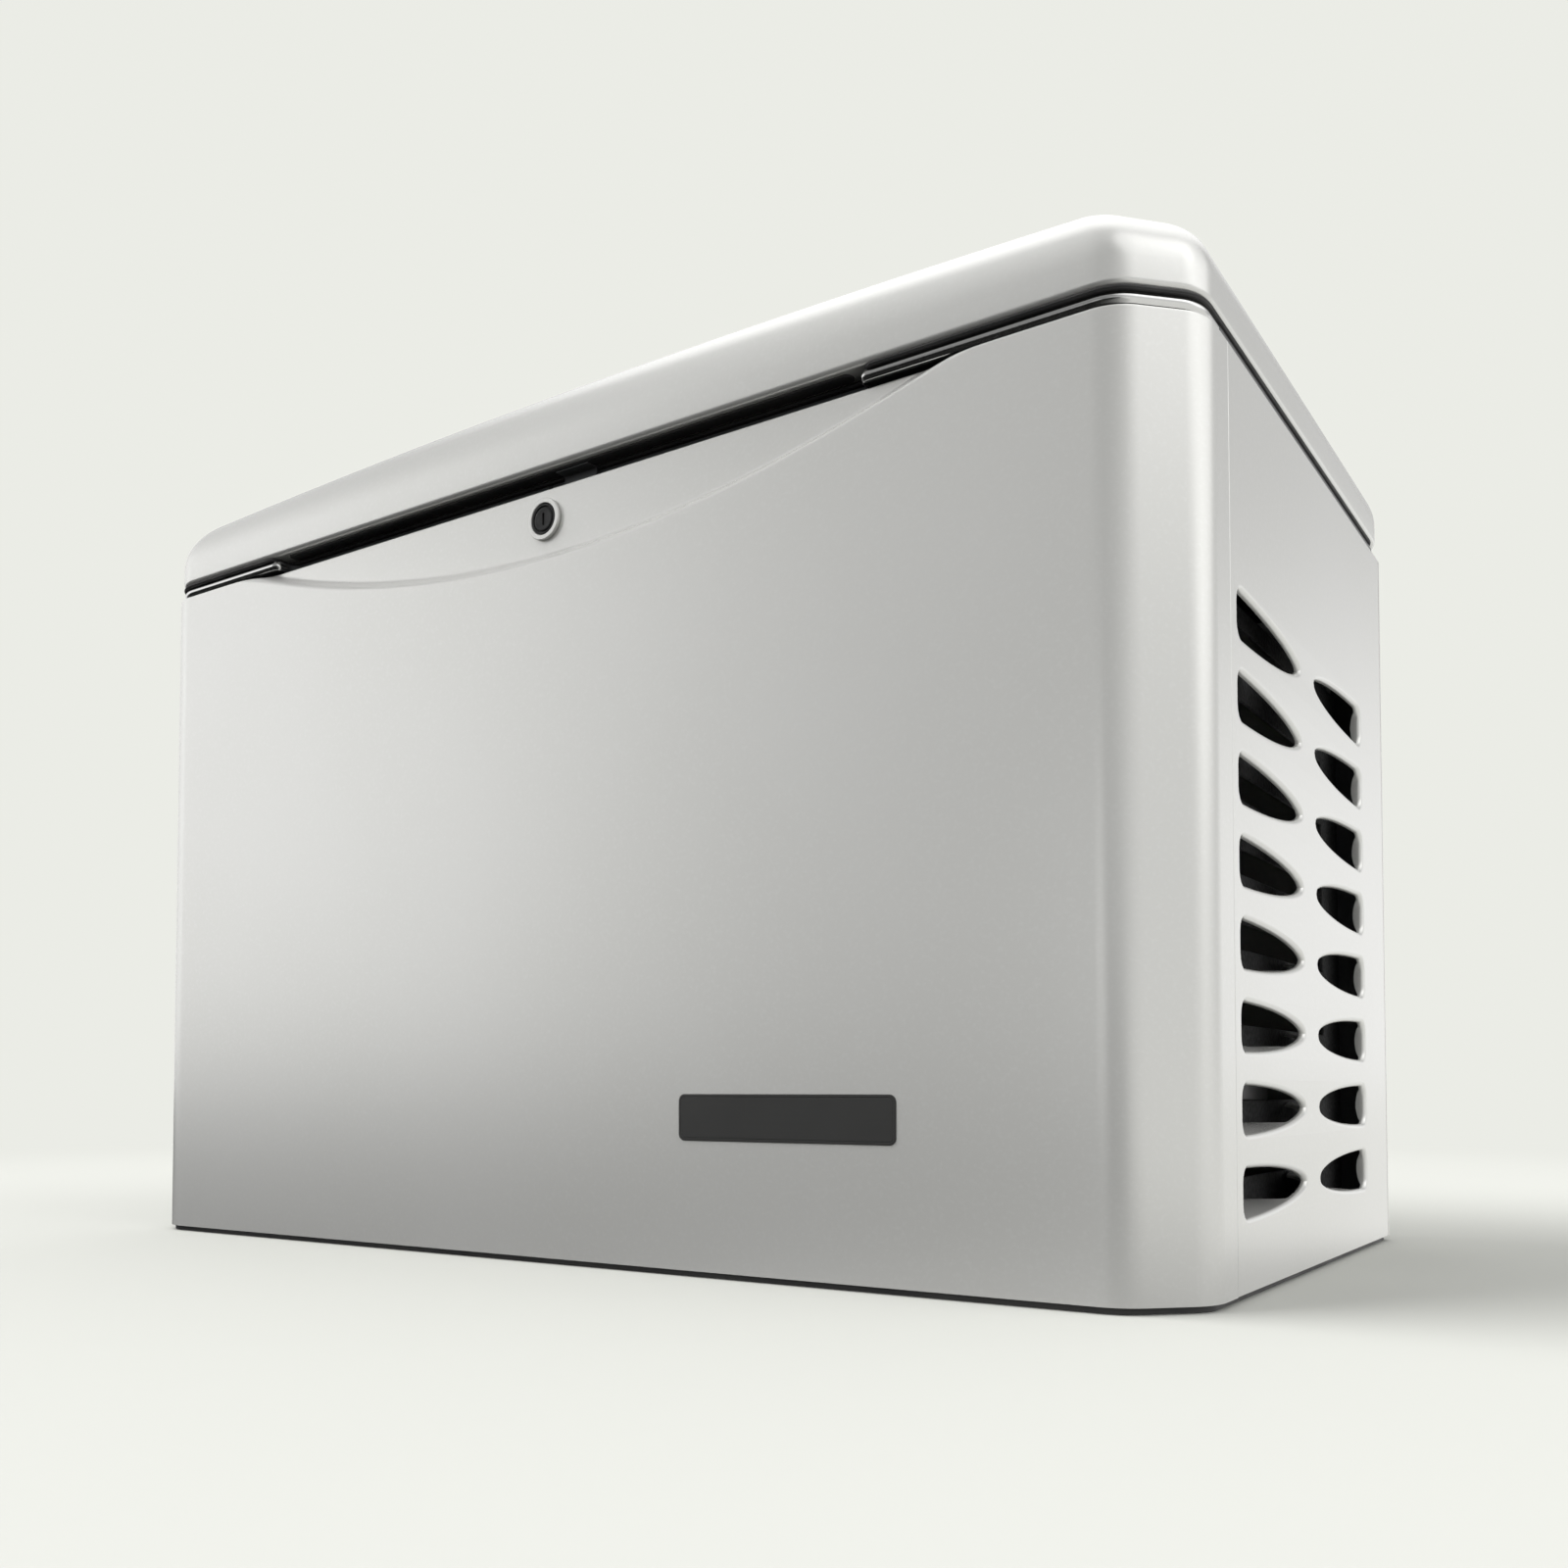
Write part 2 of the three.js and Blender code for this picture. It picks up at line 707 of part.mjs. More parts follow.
function blowerHousing() {
  const outer = 152;
  const skin = 3;
  const inlet = 78;
  const from = 187;
  const to = 286;
  const profile = [
    [outer - skin, from],
    [outer, from],
    [outer, to - 10],
    [outer - 10, to],
    [inlet, to],
    [inlet, to - skin],
    [outer - 12, to - skin],
    [outer - skin, to - 12],
    [outer - skin, from],
  ];
  part('blower_housing', turned('x', profile, [0, shaftZ], 28), looks.black);
}

function flywheelFan() {
  const blades = 12;
  const wheel = [[0, 195], [142, 195], [142, 203], [60, 212], [60, 226], [0, 226]];
  let fan = turned('x', wheel, [0, shaftZ], 24);
  for (let blade = 0; blade < blades; blade += 1) {
    const geometry = new THREE.BoxGeometry(66, 4, 56);
    geometry.rotateX(0.5);
    geometry.translate(233, 0, 106);
    geometry.rotateX((blade / blades) * 2 * Math.PI);
    geometry.translate(0, 0, shaftZ);
    fan = join(fan, solidOf(geometry));
  }
  part('flywheel_fan', fan, looks.cast);
}

function alternator() {
  const radius = 135;
  const statorLeft = -330;
  const statorRight = caseLeft - 0.4;
  const footing = (side) => {
    const near = side * 78;
    const far = side * 142;
    return block(-306, -270, Math.min(near, far), Math.max(near, far), 60.4, 150);
  };
  const bore = 88;
  const rotorRadius = 84;
  const stator = cut(
    join(rod('x', radius, statorLeft, statorRight, [0, shaftZ], 32), footing(1), footing(-1)),
    rod('x', bore, statorLeft - 1, statorRight + 1, [0, shaftZ], 32),
  );
  part('alternator_stator', stator, looks.cast);
  const rotor = join(
    rod('x', rotorRadius, statorLeft + 12, statorRight - 22, [0, shaftZ], 28),
    rod('x', shaftRadius - 1, statorLeft - 22, caseLeft - 6.3, [0, shaftZ]),
  );
  part('alternator_rotor', rotor, looks.steel);
  let cover = rod('x', radius, statorLeft - 16, statorLeft - contact, [0, shaftZ], 32);
  cover = cut(cover, rod('x', shaftRadius + runningGap, statorLeft - 17, statorLeft + 1, [0, shaftZ]));
  const vents = 8;
  const ventCircle = 90;
  const ventRadius = 20;
  for (let vent = 0; vent < vents; vent += 1) {
    const angle = (vent / vents) * 2 * Math.PI;
    const centre = [ventCircle * Math.cos(angle), shaftZ + ventCircle * Math.sin(angle)];
    cover = cut(cover, rod('x', ventRadius, statorLeft - 17, statorLeft + 1, centre, 8));
  }
  part('alternator_end_cover', cover, looks.cast);
}

// Fuel, air and exhaust ----------------------------------------------------

function fuelAndAir() {
  const mixer = cut(
    join(
      block(28, 92, -38, 38, 330.4, 342),
      rod('z', 26, 341, 430, [60, 0]),
      block(38, 84, -32, 32, 356, 402),
      rod('x', 12, 80, 104, [0, 388], 12),
    ),
    rod('z', 19, 352, 431, [60, 0]),
  );
  part('gas_mixer', mixer, looks.cast);
  const airBox = softened([[-70, -104], [190, -104], [190, 104], [-70, 104]], 26, 3);
  const airLid = softened([[-62, -96], [182, -96], [182, 96], [-62, 96]], 26, 3);
  const cleaner = cut(
    join(prism('z', airBox, 430.4, 500), prism('z', airLid, 499, 530)),
    rod('z', 22, 430, 470, [60, 0]),
  );
  part('air_cleaner', cleaner, looks.black);
  const dish = [[0, 120], [30, 120], [44, 132], [70, 150], [70, 166], [44, 178], [30, 200], [0, 200]];
  const regulator = join(
    turned('z', dish, [455, 175], 18),
    rod('x', 13, 401, 440, [175, 190], 12),
    rod('x', 13, 470, 520, [175, 135], 12),
    block(425, 485, 230, 281, 140, 176),
  );
  part('gas_regulator', regulator, looks.cast);
  const route = [
    [400.4, 175, 190],
    [388, 175, 190],
    [368, 175, 193],
    [325, 168, 225],
    [308, 140, 320],
    [285, 90, 398],
    [235, 45, 412],
    [175, 12, 402],
    [130, 0, 389],
    [104.4, 0, 388],
  ];
  part('fuel_hose', hose(route, 9, 24, 8), looks.rubber);
}

function exhaust() {
  const pipe = 15;
  const side = (sign) => hose([
    [-21, sign * 180, 380],
    [-70, sign * 180, 388],
    [-190, sign * 172, 398],
    [-300, sign * 130, 404],
    [-365, sign * 55, 405],
    [-385, sign * -4, 405],
  ], pipe, 10, 8);
  const outlet = rod('x', 19, -413.6, -372, [0, 405], 16);
  part('exhaust_manifold', join(side(1), side(-1), outlet), looks.exhaust);
  const radius = 76;
  const profile = [
    [0, -212],
    [radius - 22, -212],
    [radius, -196],
    [radius, 196],
    [radius - 22, 212],
    [0, 212],
  ];
  const muffler = join(
    turned('y', profile, [-490, 405], 24),
    rod('z', 18, 252, 340, [-490, 120], 16),
    block(-560, -420, -176, -170, 48.6, 405),
    block(-560, -420, 170, 176, 48.6, 405),
  );
  part('muffler', muffler, looks.exhaust);
}

function services() {
  const thickness = 3;
  const bulkhead = cut(
    block(-408, -408 + thickness, -282, 282, panFloor + contact, 690),
    rod('x', 24, -410, -400, [0, 405]),
    block(-410, -400, -120, 120, 140, 330),
  );
  part('divider_bulkhead', bulkhead, looks.galvanised);
  const foot = panFloor + contact;
  const puck = [[0, foot], [26, foot], [26, 16], [18, 24], [18, 44], [26, 52], [26, 60], [0, 60]];
  const places = [[-288, -110], [-288, 110], [130, -120], [130, 120]];
  places.forEach(([x, y], index) => {
    part(`isolator_${index + 1}`, turned('z', puck, [x, y], 12), looks.rubber);
  });
  const filter = [[0, -216], [28, -216], [36, -208], [36, -140], [30, -130.4], [0, -130.4]];
  part('oil_filter', turned('y', filter, [20, 185], 18), looks.amber);
  const starter = join(rod('x', 34, 20, 140, [170, 175]), rod('x', 20, 139, 176, [170, 175], 14));
  part('starter_motor', starter, looks.steel);
  const battery = join(
    block(370, 560, -272, -142, panFloor + contact, 196),
    block(374, 556, -268, -146, 195, 212),
    rod('z', 9, 211, 226, [400, -170], 12),
    rod('z', 9, 211, 226, [530, -170], 12),
  );
  part('battery', battery, looks.black);
}

// Controls -----------------------------------------------------------------

function controls() {
  const faceZ = 690;
  const backY = -302.5;
  const rimY = -192;
  const buttonRadius = 9;
  const buttonPlaces = [['off', 470], ['auto', 500], ['run', 530]];
  const buttonY = -240;
  let housing = join(
    block(310, 560, backY, rimY, 560, faceZ),
    block(340, 366, backY, backY + 3, faceZ - 1, 734),
    block(500, 526, backY, backY + 3, faceZ - 1, 734),
  );
  for (const [name, x] of buttonPlaces) {
    housing = cut(housing, rod('z', buttonRadius + runningGap, faceZ - 12, faceZ + 1, [x, buttonY]));
    const button = rod('z', buttonRadius, -4, 5, [0, 0], 16);
    part(`button_${name}`, button, name === 'off' ? looks.red : looks.green, [x, buttonY, faceZ]);
  }
  part('controller_housing', housing, looks.black);
  part('display_window', block(325, 445, -276, -216, faceZ + contact, faceZ + 2.5), looks.glass);
  const breakerX = 250;
  const toggleY = -258;
  const pivotZ = faceZ - 6;
  const breaker = cut(
    block(205, 295, backY, -212, 600, faceZ),
    block(breakerX - 16, breakerX + 16, toggleY - 11, toggleY + 11, faceZ - 20, faceZ + 1),
  );
  part('breaker_body', breaker, looks.black);
  const handle = join(rod('y', 7, -9, 9, [0, 0], 16), block(-4, 4, -8, 8, 0, 24));
  const toggle = part('breaker_toggle', handle, looks.red, [breakerX, toggleY, pivotZ]);
  toggle.rotation.y = -Math.PI / 9;
}

lidShell();
lidKeeper();
lidHinge('left', -380);
lidHinge('right', 380);
gasStrut();
lock();
crankcase();
cylinder('front', -1, 40);
cylinder('rear', 1, 80);
blowerHousing();
flywheelFan();
alternator();
fuelAndAir();
exhaust();
services();
controls();

export default generator;
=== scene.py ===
"""Looks of the home standby generator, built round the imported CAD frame.

Mesh code works in millimetres in the CAD frame and turns them to metres when a piece is made."""
import json
import math

import bmesh
import bpy
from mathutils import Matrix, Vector
from mathutils.geometry import tessellate_polygon

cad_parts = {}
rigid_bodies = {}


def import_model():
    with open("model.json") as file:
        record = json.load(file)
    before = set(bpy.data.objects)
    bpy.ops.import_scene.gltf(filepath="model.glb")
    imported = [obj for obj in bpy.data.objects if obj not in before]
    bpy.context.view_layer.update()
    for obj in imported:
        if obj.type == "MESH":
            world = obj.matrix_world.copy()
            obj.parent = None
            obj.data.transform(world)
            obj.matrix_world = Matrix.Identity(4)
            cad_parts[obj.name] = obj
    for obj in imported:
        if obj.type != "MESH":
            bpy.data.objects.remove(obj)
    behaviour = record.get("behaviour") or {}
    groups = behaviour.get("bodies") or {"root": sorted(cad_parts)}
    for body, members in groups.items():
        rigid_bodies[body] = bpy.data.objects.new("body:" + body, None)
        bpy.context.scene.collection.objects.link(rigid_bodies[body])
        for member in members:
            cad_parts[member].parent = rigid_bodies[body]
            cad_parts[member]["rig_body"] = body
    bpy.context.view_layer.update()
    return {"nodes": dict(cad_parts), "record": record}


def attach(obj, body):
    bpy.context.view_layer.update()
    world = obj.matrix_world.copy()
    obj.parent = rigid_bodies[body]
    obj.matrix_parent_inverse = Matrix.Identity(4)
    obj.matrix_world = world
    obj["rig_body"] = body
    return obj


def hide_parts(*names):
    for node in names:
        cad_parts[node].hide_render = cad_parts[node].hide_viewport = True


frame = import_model()
nodes = frame["nodes"]
MM = 0.001

# Camera -------------------------------------------------------------------

camera_data = bpy.data.cameras.new("camera")
camera = bpy.data.objects.new("camera", camera_data)
bpy.context.scene.collection.objects.link(camera)
bpy.context.scene.camera = camera
camera.location = (0.9322, -1.3284, 0.1596)
camera.rotation_euler = (math.radians(92.08), 0, math.radians(33.79))
camera_data.lens = 32.75
camera_data.sensor_width = 36
camera_data.shift_y = 0.162
camera_data.clip_start = 0.01
camera_data.clip_end = 200

# Enclosure sizes ----------------------------------------------------------
# As in the CAD, but for the fillets of the chamfered corners, which are rounder here.

HALF_X = 620
HALF_Y = 355
CHAMFER = 52
FILLET = 46
BOTTOM = 5
TOP = 730
FRONT_SEAM = -255.3
REAR_SEAM = 290.3
SHEET = 3
LID_BOTTOM = 746.5


# Shader helpers -----------------------------------------------------------

class Finish:
    """A Principled material and the nodes that give it grain."""

    def __init__(self, name, color, roughness, metallic=0.0, **sockets):
        self.material = bpy.data.materials.new(name)
        self.material.use_nodes = True
        self.tree = self.material.node_tree
        self.shader = self.tree.nodes["Principled BSDF"]
        self.color = color
        self.shader.inputs["Base Color"].default_value = (*color, 1)
        self.shader.inputs["Roughness"].default_value = roughness
        self.shader.inputs["Metallic"].default_value = metallic
        for socket, value in sockets.items():
            self.shader.inputs[socket.replace("_", " ")].default_value = value
        self.place = self.tree.nodes.new("ShaderNodeTexCoord").outputs["Object"]
        self.normal = None

    def link(self, start, end):
        self.tree.links.new(start, end)

    def noise(self, scale, detail=3.0, stretch=None):
        place = self.place
        if stretch:
            mapping = self.tree.nodes.new("ShaderNodeMapping")
            mapping.inputs["Scale"].default_value = stretch
            self.link(place, mapping.inputs["Vector"])
            place = mapping.outputs["Vector"]
        texture = self.tree.nodes.new("ShaderNodeTexNoise")
        texture.inputs["Scale"].default_value = scale
        texture.inputs["Detail"].default_value = detail
        self.link(place, texture.inputs["Vector"])
        return texture.outputs["Fac"]

    def cells(self, scale, output="Distance"):
        texture = self.tree.nodes.new("ShaderNodeTexVoronoi")
        texture.inputs["Scale"].default_value = scale
        self.link(self.place, texture.inputs["Vector"])
        return texture.outputs[output]

    def spread(self, value, low, high, start=0.3, end=0.7):
        node = self.tree.nodes.new("ShaderNodeMapRange")
        node.inputs["From Min"].default_value = start
        node.inputs["From Max"].default_value = end
        node.inputs["To Min"].default_value = low
        node.inputs["To Max"].default_value = high
        self.link(value, node.inputs["Value"])
        return node.outputs["Result"]

    def vary_color(self, value, other, start=0.35, end=0.65):
        """Blends the base colour towards another where the texture is high."""
        node = self.tree.nodes.new("ShaderNodeMix")
        node.data_type = "RGBA"
        base = self.shader.inputs["Base Color"]
        if base.is_linked:
            self.link(base.links[0].from_socket, node.inputs[6])
        else:
            node.inputs[6].default_value = (*self.color, 1)
        node.inputs[7].default_value = (*other, 1)
        self.link(self.spread(value, 0, 1, start, end), node.inputs[0])
        self.link(node.outputs[2], base)

    def vary_roughness(self, value, low, high):
        self.link(self.spread(value, low, high), self.shader.inputs["Roughness"])

    def bump(self, value, distance, strength=1.0):
        """Adds relief, distance in metres."""
        node = self.tree.nodes.new("ShaderNodeBump")
        node.inputs["Distance"].default_value = distance
        node.inputs["Strength"].default_value = strength
        self.link(value, node.inputs["Height"])
        if self.normal:
            self.link(self.normal, node.inputs["Normal"])
        self.normal = node.outputs["Normal"]
        self.link(self.normal, self.shader.inputs["Normal"])


def panel_paint():
    finish = Finish("panel_paint", (0.66, 0.66, 0.64), 0.27, 0.55)
    finish.vary_color(finish.noise(3, 2), (0.645, 0.645, 0.622))
    finish.vary_color(finish.noise(260, 2), (0.675, 0.675, 0.655), 0.5, 0.8)
    finish.bump(finish.noise(300, 2), 0.00002, 0.35)
    return finish.material


def base_black():
    # Near black: the base's own dark colour, which also serves as painted shade for the shadow gap under
    # the panels
    finish = Finish("base_black", (0.022, 0.022, 0.023), 0.6)
    finish.vary_color(finish.noise(12, 4), (0.035, 0.034, 0.033))
    finish.vary_roughness(finish.noise(30, 3), 0.5, 0.7)
    finish.bump(finish.noise(700, 3), 0.0001, 0.6)
    return finish.material


def frame_grey():
    finish = Finish("frame_grey", (0.085, 0.087, 0.09), 0.32, 0.5)
    finish.vary_color(finish.noise(9, 3), (0.105, 0.106, 0.108))
    finish.vary_roughness(finish.noise(20, 3), 0.27, 0.38)
    finish.bump(finish.noise(500, 2), 0.00004, 0.5)
    return finish.material


def foam():
    finish = Finish("foam", (0.035, 0.036, 0.037), 0.95)
    finish.vary_color(finish.cells(260), (0.012, 0.012, 0.012), 0.1, 0.7)
    finish.vary_color(finish.noise(14, 3), (0.05, 0.051, 0.052), 0.5, 0.8)
    finish.bump(finish.cells(260), 0.0012, 0.8)
    return finish.material


def rubber():
    finish = Finish("rubber", (0.014, 0.014, 0.015), 0.62)
    finish.vary_color(finish.noise(25, 4), (0.026, 0.025, 0.025))
    finish.vary_roughness(finish.noise(60, 3), 0.52, 0.75)
    finish.bump(finish.noise(900, 2), 0.00006, 0.6)
    return finish.material


def zinc_steel():
    finish = Finish("zinc_steel", (0.56, 0.57, 0.59), 0.34, 1.0)
    finish.vary_color(finish.cells(140, output="Color"), (0.46, 0.47, 0.5), 0.2, 0.8)
    finish.vary_roughness(finish.noise(45, 4), 0.26, 0.46)
    finish.bump(finish.noise(300, 3), 0.00005, 0.4)
    return finish.material


def black_plastic():
    finish = Finish("black_plastic", (0.02, 0.0205, 0.021), 0.48)
    finish.vary_color(finish.noise(8, 3), (0.028, 0.028, 0.029))
    finish.vary_roughness(finish.noise(16, 3), 0.42, 0.56)
    finish.bump(finish.cells(620), 0.00012, 0.6)
    return finish.material


def lock_black():
    finish = Finish("lock_black", (0.01, 0.01, 0.01), 0.4, 0.0, Specular_IOR_Level=0.3)
    finish.vary_roughness(finish.noise(150, 3), 0.34, 0.5)
    finish.vary_color(finish.noise(90, 3), (0.03, 0.03, 0.03), 0.55, 0.8)
    finish.bump(finish.noise(800, 2), 0.00004, 0.5)
    return finish.material


def badge_dark():
    finish = Finish("badge_dark", (0.035, 0.035, 0.034), 0.42, 0.4)
    finish.vary_roughness(finish.noise(6, 4, (1, 1, 60)), 0.36, 0.5)
    finish.vary_color(finish.noise(5, 3), (0.045, 0.045, 0.044))
    finish.bump(finish.noise(6, 3, (1, 1, 90)), 0.00003, 0.5)
    return finish.material


def cast_alloy():
    finish = Finish("cast_alloy", (0.5, 0.505, 0.51), 0.5, 0.9)
    finish.vary_color(finish.noise(18, 4), (0.42, 0.42, 0.425))
    finish.vary_color(finish.noise(5, 3), (0.36, 0.355, 0.35), 0.55, 0.85)
    finish.vary_roughness(finish.noise(50, 4), 0.42, 0.62)
    finish.bump(finish.noise(380, 4), 0.0003, 0.6)
    return finish.material


def engine_black():
    finish = Finish("engine_black", (0.013, 0.013, 0.014), 0.3)
    finish.vary_roughness(finish.noise(22, 3), 0.24, 0.4)
    finish.vary_color(finish.noise(10, 3), (0.02, 0.02, 0.021))
    finish.bump(finish.noise(260, 2), 0.00008, 0.6)
    return finish.material


def lamination():
    finish = Finish("lamination", (0.2, 0.2, 0.205), 0.45, 0.9)
    finish.vary_color(finish.noise(2, 2, (700, 1, 1)), (0.32, 0.32, 0.33))
    finish.vary_roughness(finish.noise(30, 3), 0.4, 0.6)
    finish.bump(finish.noise(2, 1, (700, 1, 1)), 0.0002, 0.7)
    return finish.material


def exhaust_steel():
    finish = Finish("exhaust_steel", (0.4, 0.385, 0.36), 0.42, 1.0)
    finish.vary_color(finish.noise(9, 4), (0.3, 0.26, 0.21), 0.45, 0.7)
    finish.vary_color(finish.noise(60, 4), (0.22, 0.21, 0.2), 0.6, 0.85)
    finish.vary_roughness(finish.noise(40, 4), 0.34, 0.6)
    finish.bump(finish.noise(500, 3), 0.00008, 0.6)
    return finish.material


def battery_grey():
    finish = Finish("battery_grey", (0.06, 0.062, 0.066), 0.42)
    finish.vary_color(finish.noise(7, 3), (0.075, 0.077, 0.08))
    finish.vary_roughness(finish.noise(20, 3), 0.36, 0.52)
    finish.bump(finish.cells(500), 0.00008, 0.6)
    return finish.material


def filter_paint():
    finish = Finish("filter_paint", (0.62, 0.3, 0.03), 0.35)
    finish.vary_color(finish.noise(20, 4), (0.56, 0.26, 0.024))
    finish.vary_roughness(finish.noise(40, 3), 0.28, 0.42)
    finish.bump(finish.noise(300, 2), 0.00005, 0.5)
    return finish.material


def button_paint(name, color, other):
    finish = Finish(name, color, 0.38)
    finish.vary_color(finish.noise(60, 3), other)
    finish.vary_roughness(finish.noise(80, 3), 0.32, 0.45)
    finish.bump(finish.noise(900, 2), 0.00004, 0.5)
    return finish.material


def display_glass():
    finish = Finish("display_glass", (0.015, 0.03, 0.028), 0.08, 0.0, Coat_Weight=0.5)
    finish.vary_color(finish.noise(30, 2), (0.02, 0.045, 0.04))
    finish.vary_roughness(finish.noise(40, 2), 0.05, 0.12)
    finish.bump(finish.noise(60, 1), 0.00002, 0.3)
    return finish.material


def trim_steel():
    finish = Finish("trim_steel", (0.62, 0.62, 0.61), 0.16, 1.0)
    finish.vary_color(finish.noise(12, 3), (0.58, 0.58, 0.57))
    finish.vary_roughness(finish.noise(5, 3, (40, 40, 1)), 0.13, 0.2)
    finish.bump(finish.noise(200, 2), 0.00001, 0.3)
    return finish.material


TRIM = trim_steel()
FINISHES = {maker.__name__: maker() for maker in (
    panel_paint, base_black, frame_grey, foam, rubber, zinc_steel, black_plastic, lock_black, badge_dark,
    cast_alloy, engine_black, lamination, exhaust_steel, battery_grey, filter_paint,
)}
FINISHES["button_red"] = button_paint("button_red", (0.42, 0.016, 0.012), (0.36, 0.012, 0.01))
FINISHES["button_green"] = button_paint("button_green", (0.02, 0.2, 0.06), (0.016, 0.16, 0.05))
FINISHES["display_glass"] = display_glass()
SLOT_OF = {part["node"]: part["material_slot"] for part in frame["record"]["subparts"]}
BODY_OF = {name: node["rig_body"] for name, node in nodes.items()}
for name, node in nodes.items():
    for material_slot in node.material_slots:
        material_slot.material = FINISHES[SLOT_OF[name]]


# Mesh helpers -------------------------------------------------------------

NO_AREA = 1e-12


def to_data(shape, name):
    """Turns a bmesh into mesh data."""
    data = bpy.data.meshes.new(name)
    shape.to_mesh(data)
    shape.free()
    return data


def untangle(shape, rounds=60):
    """Turns the long edge of each triangle without area, which a flat face with points in line leaves."""
    for _ in range(rounds):
        turned = 0
        for face in list(shape.faces):
            if not face.is_valid or len(face.verts) != 3 or face.calc_area() > NO_AREA:
                continue
            edge = max(face.edges, key=lambda e: e.calc_length())
            others = [f for f in edge.link_faces if f != face]
            if len(others) == 1 and len(others[0].verts) == 3 and others[0].calc_area() > NO_AREA:
                turned += bmesh.utils.edge_rotate(edge, True) is not None
        if not turned:
            break


class Skin:
    """Collects the points, in millimetres, and the faces of one piece."""

    def __init__(self):
        self.points = []
        self.faces = []

    def grid(self, rows, closed=False):
        """Joins rows of points into quads. Faces look along (next point) x (next row)."""
        start = len(self.points)
        count = len(rows[0])
        for row in rows:
            self.points.extend(row)
        for j in range(len(rows) - 1):
            for i in range(count if closed else count - 1):
                a = start + j * count + i
                b = start + j * count + (i + 1) % count
                self.faces.append((a, b, b + count, a + count))

    def flat(self, outline, holes=()):
        """Fills a flat outline of 3-D points, with holes."""
        loops = [[Vector(p) for p in loop] for loop in (outline, *holes)]
        start = len(self.points)
        for loop in loops:
            self.points.extend(loop)
        for triangle in tessellate_polygon(loops):
            self.faces.append(tuple(start + i for i in triangle))

    def mesh(self, name, closed=True, weld=0.02):
        """The mesh, with points nearer than weld joined. A closed one gets its faces turned outward."""
        shape = bmesh.new()
        made = [shape.verts.new(Vector(p) * MM) for p in self.points]
        for face in self.faces:
            corners = [made[i] for i in face]
            if len(set(corners)) == len(corners):
                shape.faces.new(corners)
        bmesh.ops.remove_doubles(shape, verts=shape.verts, dist=weld * MM)
        bmesh.ops.dissolve_degenerate(shape, edges=shape.edges, dist=0.002 * MM)
        untangle(shape)
        loose = [v for v in shape.verts if not v.link_faces]
        bmesh.ops.delete(shape, geom=loose, context="VERTS")
        if closed:
            bmesh.ops.recalc_face_normals(shape, faces=shape.faces)
        return to_data(shape, name)


def place(name, data, node):
    """Makes the mesh a piece that stands for a CAD node, on its body and with its finish."""
    piece = bpy.data.objects.new(name, data)
    bpy.context.scene.collection.objects.link(piece)
    data.materials.clear()
    data.materials.append(FINISHES[SLOT_OF[node]])
    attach(piece, BODY_OF[node])
    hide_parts(node)
    return piece


def modify(piece, kind, **settings):
    """Adds a modifier."""
    modifier = piece.modifiers.new(kind.lower(), kind)
    for key, value in settings.items():
        setattr(modifier, key, value)


def settle(piece, angle=38.0, weighted=True):
    """Applies the modifiers, then shades smooth up to an angle."""
    bpy.context.view_layer.update()
    depsgraph = bpy.context.evaluated_depsgraph_get()
    data = bpy.data.meshes.new_from_object(piece.evaluated_get(depsgraph))
    piece.modifiers.clear()
    piece.data = data
    data.polygons.foreach_set("use_smooth", [True] * len(data.polygons))
    data.set_sharp_from_angle(angle=math.radians(angle))
    if weighted:
        modify(piece, "WEIGHTED_NORMAL", mode="FACE_AREA", weight=50, keep_sharp=True)
    return piece


def rounded_corner(before, here, after, radius, steps):
    """Points of a true arc in place of a corner."""
    here = Vector(here)
    arriving = (here - Vector(before)).normalized()
    leaving = (Vector(after) - here).normalized()
    turn = math.atan2(arriving.cross(leaving), arriving.dot(leaving))
    if abs(turn) < 1e-6:
        return [here]
    reach = radius * math.tan(abs(turn) / 2)
    start = here - arriving * reach
    inward = Vector((-arriving.y, arriving.x)) * math.copysign(1, turn)
    points = []
    for step in range(steps + 1):
        angle = abs(turn) * step / steps
        points.append(start + arriving * radius * math.sin(angle) + inward * radius * (1 - math.cos(angle)))
    return points


def softened(corners, radius, steps=8, closed=True):
    """Rounds the corners of an outline. radius is a number, or one number for each corner."""
    count = len(corners)
    radii = radius if isinstance(radius, (list, tuple)) else [radius] * count
    points = []
    for i, corner in enumerate(corners):
        if radii[i] <= 0 or (not closed and i in (0, count - 1)):
            points.append(Vector(corner))
        else:
            after = corners[(i + 1) % count]
            points.extend(rounded_corner(corners[i - 1], corner, after, radii[i], steps))
    return points


def spaced(points, step, closed=True):
    """Adds points so that no stretch is longer than step."""
    made = []
    following = points[1:] + points[:1] if closed else points[1:]
    for a, b in zip(points, following):
        parts = max(1, math.ceil((b - a).length / step))
        made.extend(a.lerp(b, i / parts) for i in range(parts))
    if not closed:
        made.append(points[-1])
    return made


LEAST_SETBACK = 10
LEAST_FILLET = 4
FILLET_GROWTH = 1.6


def plan_corners(inset, rear_inset=None, grow=0.0):
    """The enclosure's eight-cornered plan, anticlockwise from the front right, moved in by inset.

    grow widens the chamfers with the inset."""
    rear_inset = inset if rear_inset is None else rear_inset
    half = HALF_X - inset
    front = -HALF_Y + inset
    rear = HALF_Y - rear_inset
    setback = max(CHAMFER - inset * (2 - math.sqrt(2)), LEAST_SETBACK) + grow * inset
    return [
        (half - setback, front), (half, front + setback),
        (half, rear - setback), (half - setback, rear),
        (-half + setback, rear), (-half, rear - setback),
        (-half, front + setback), (-half + setback, front),
    ]


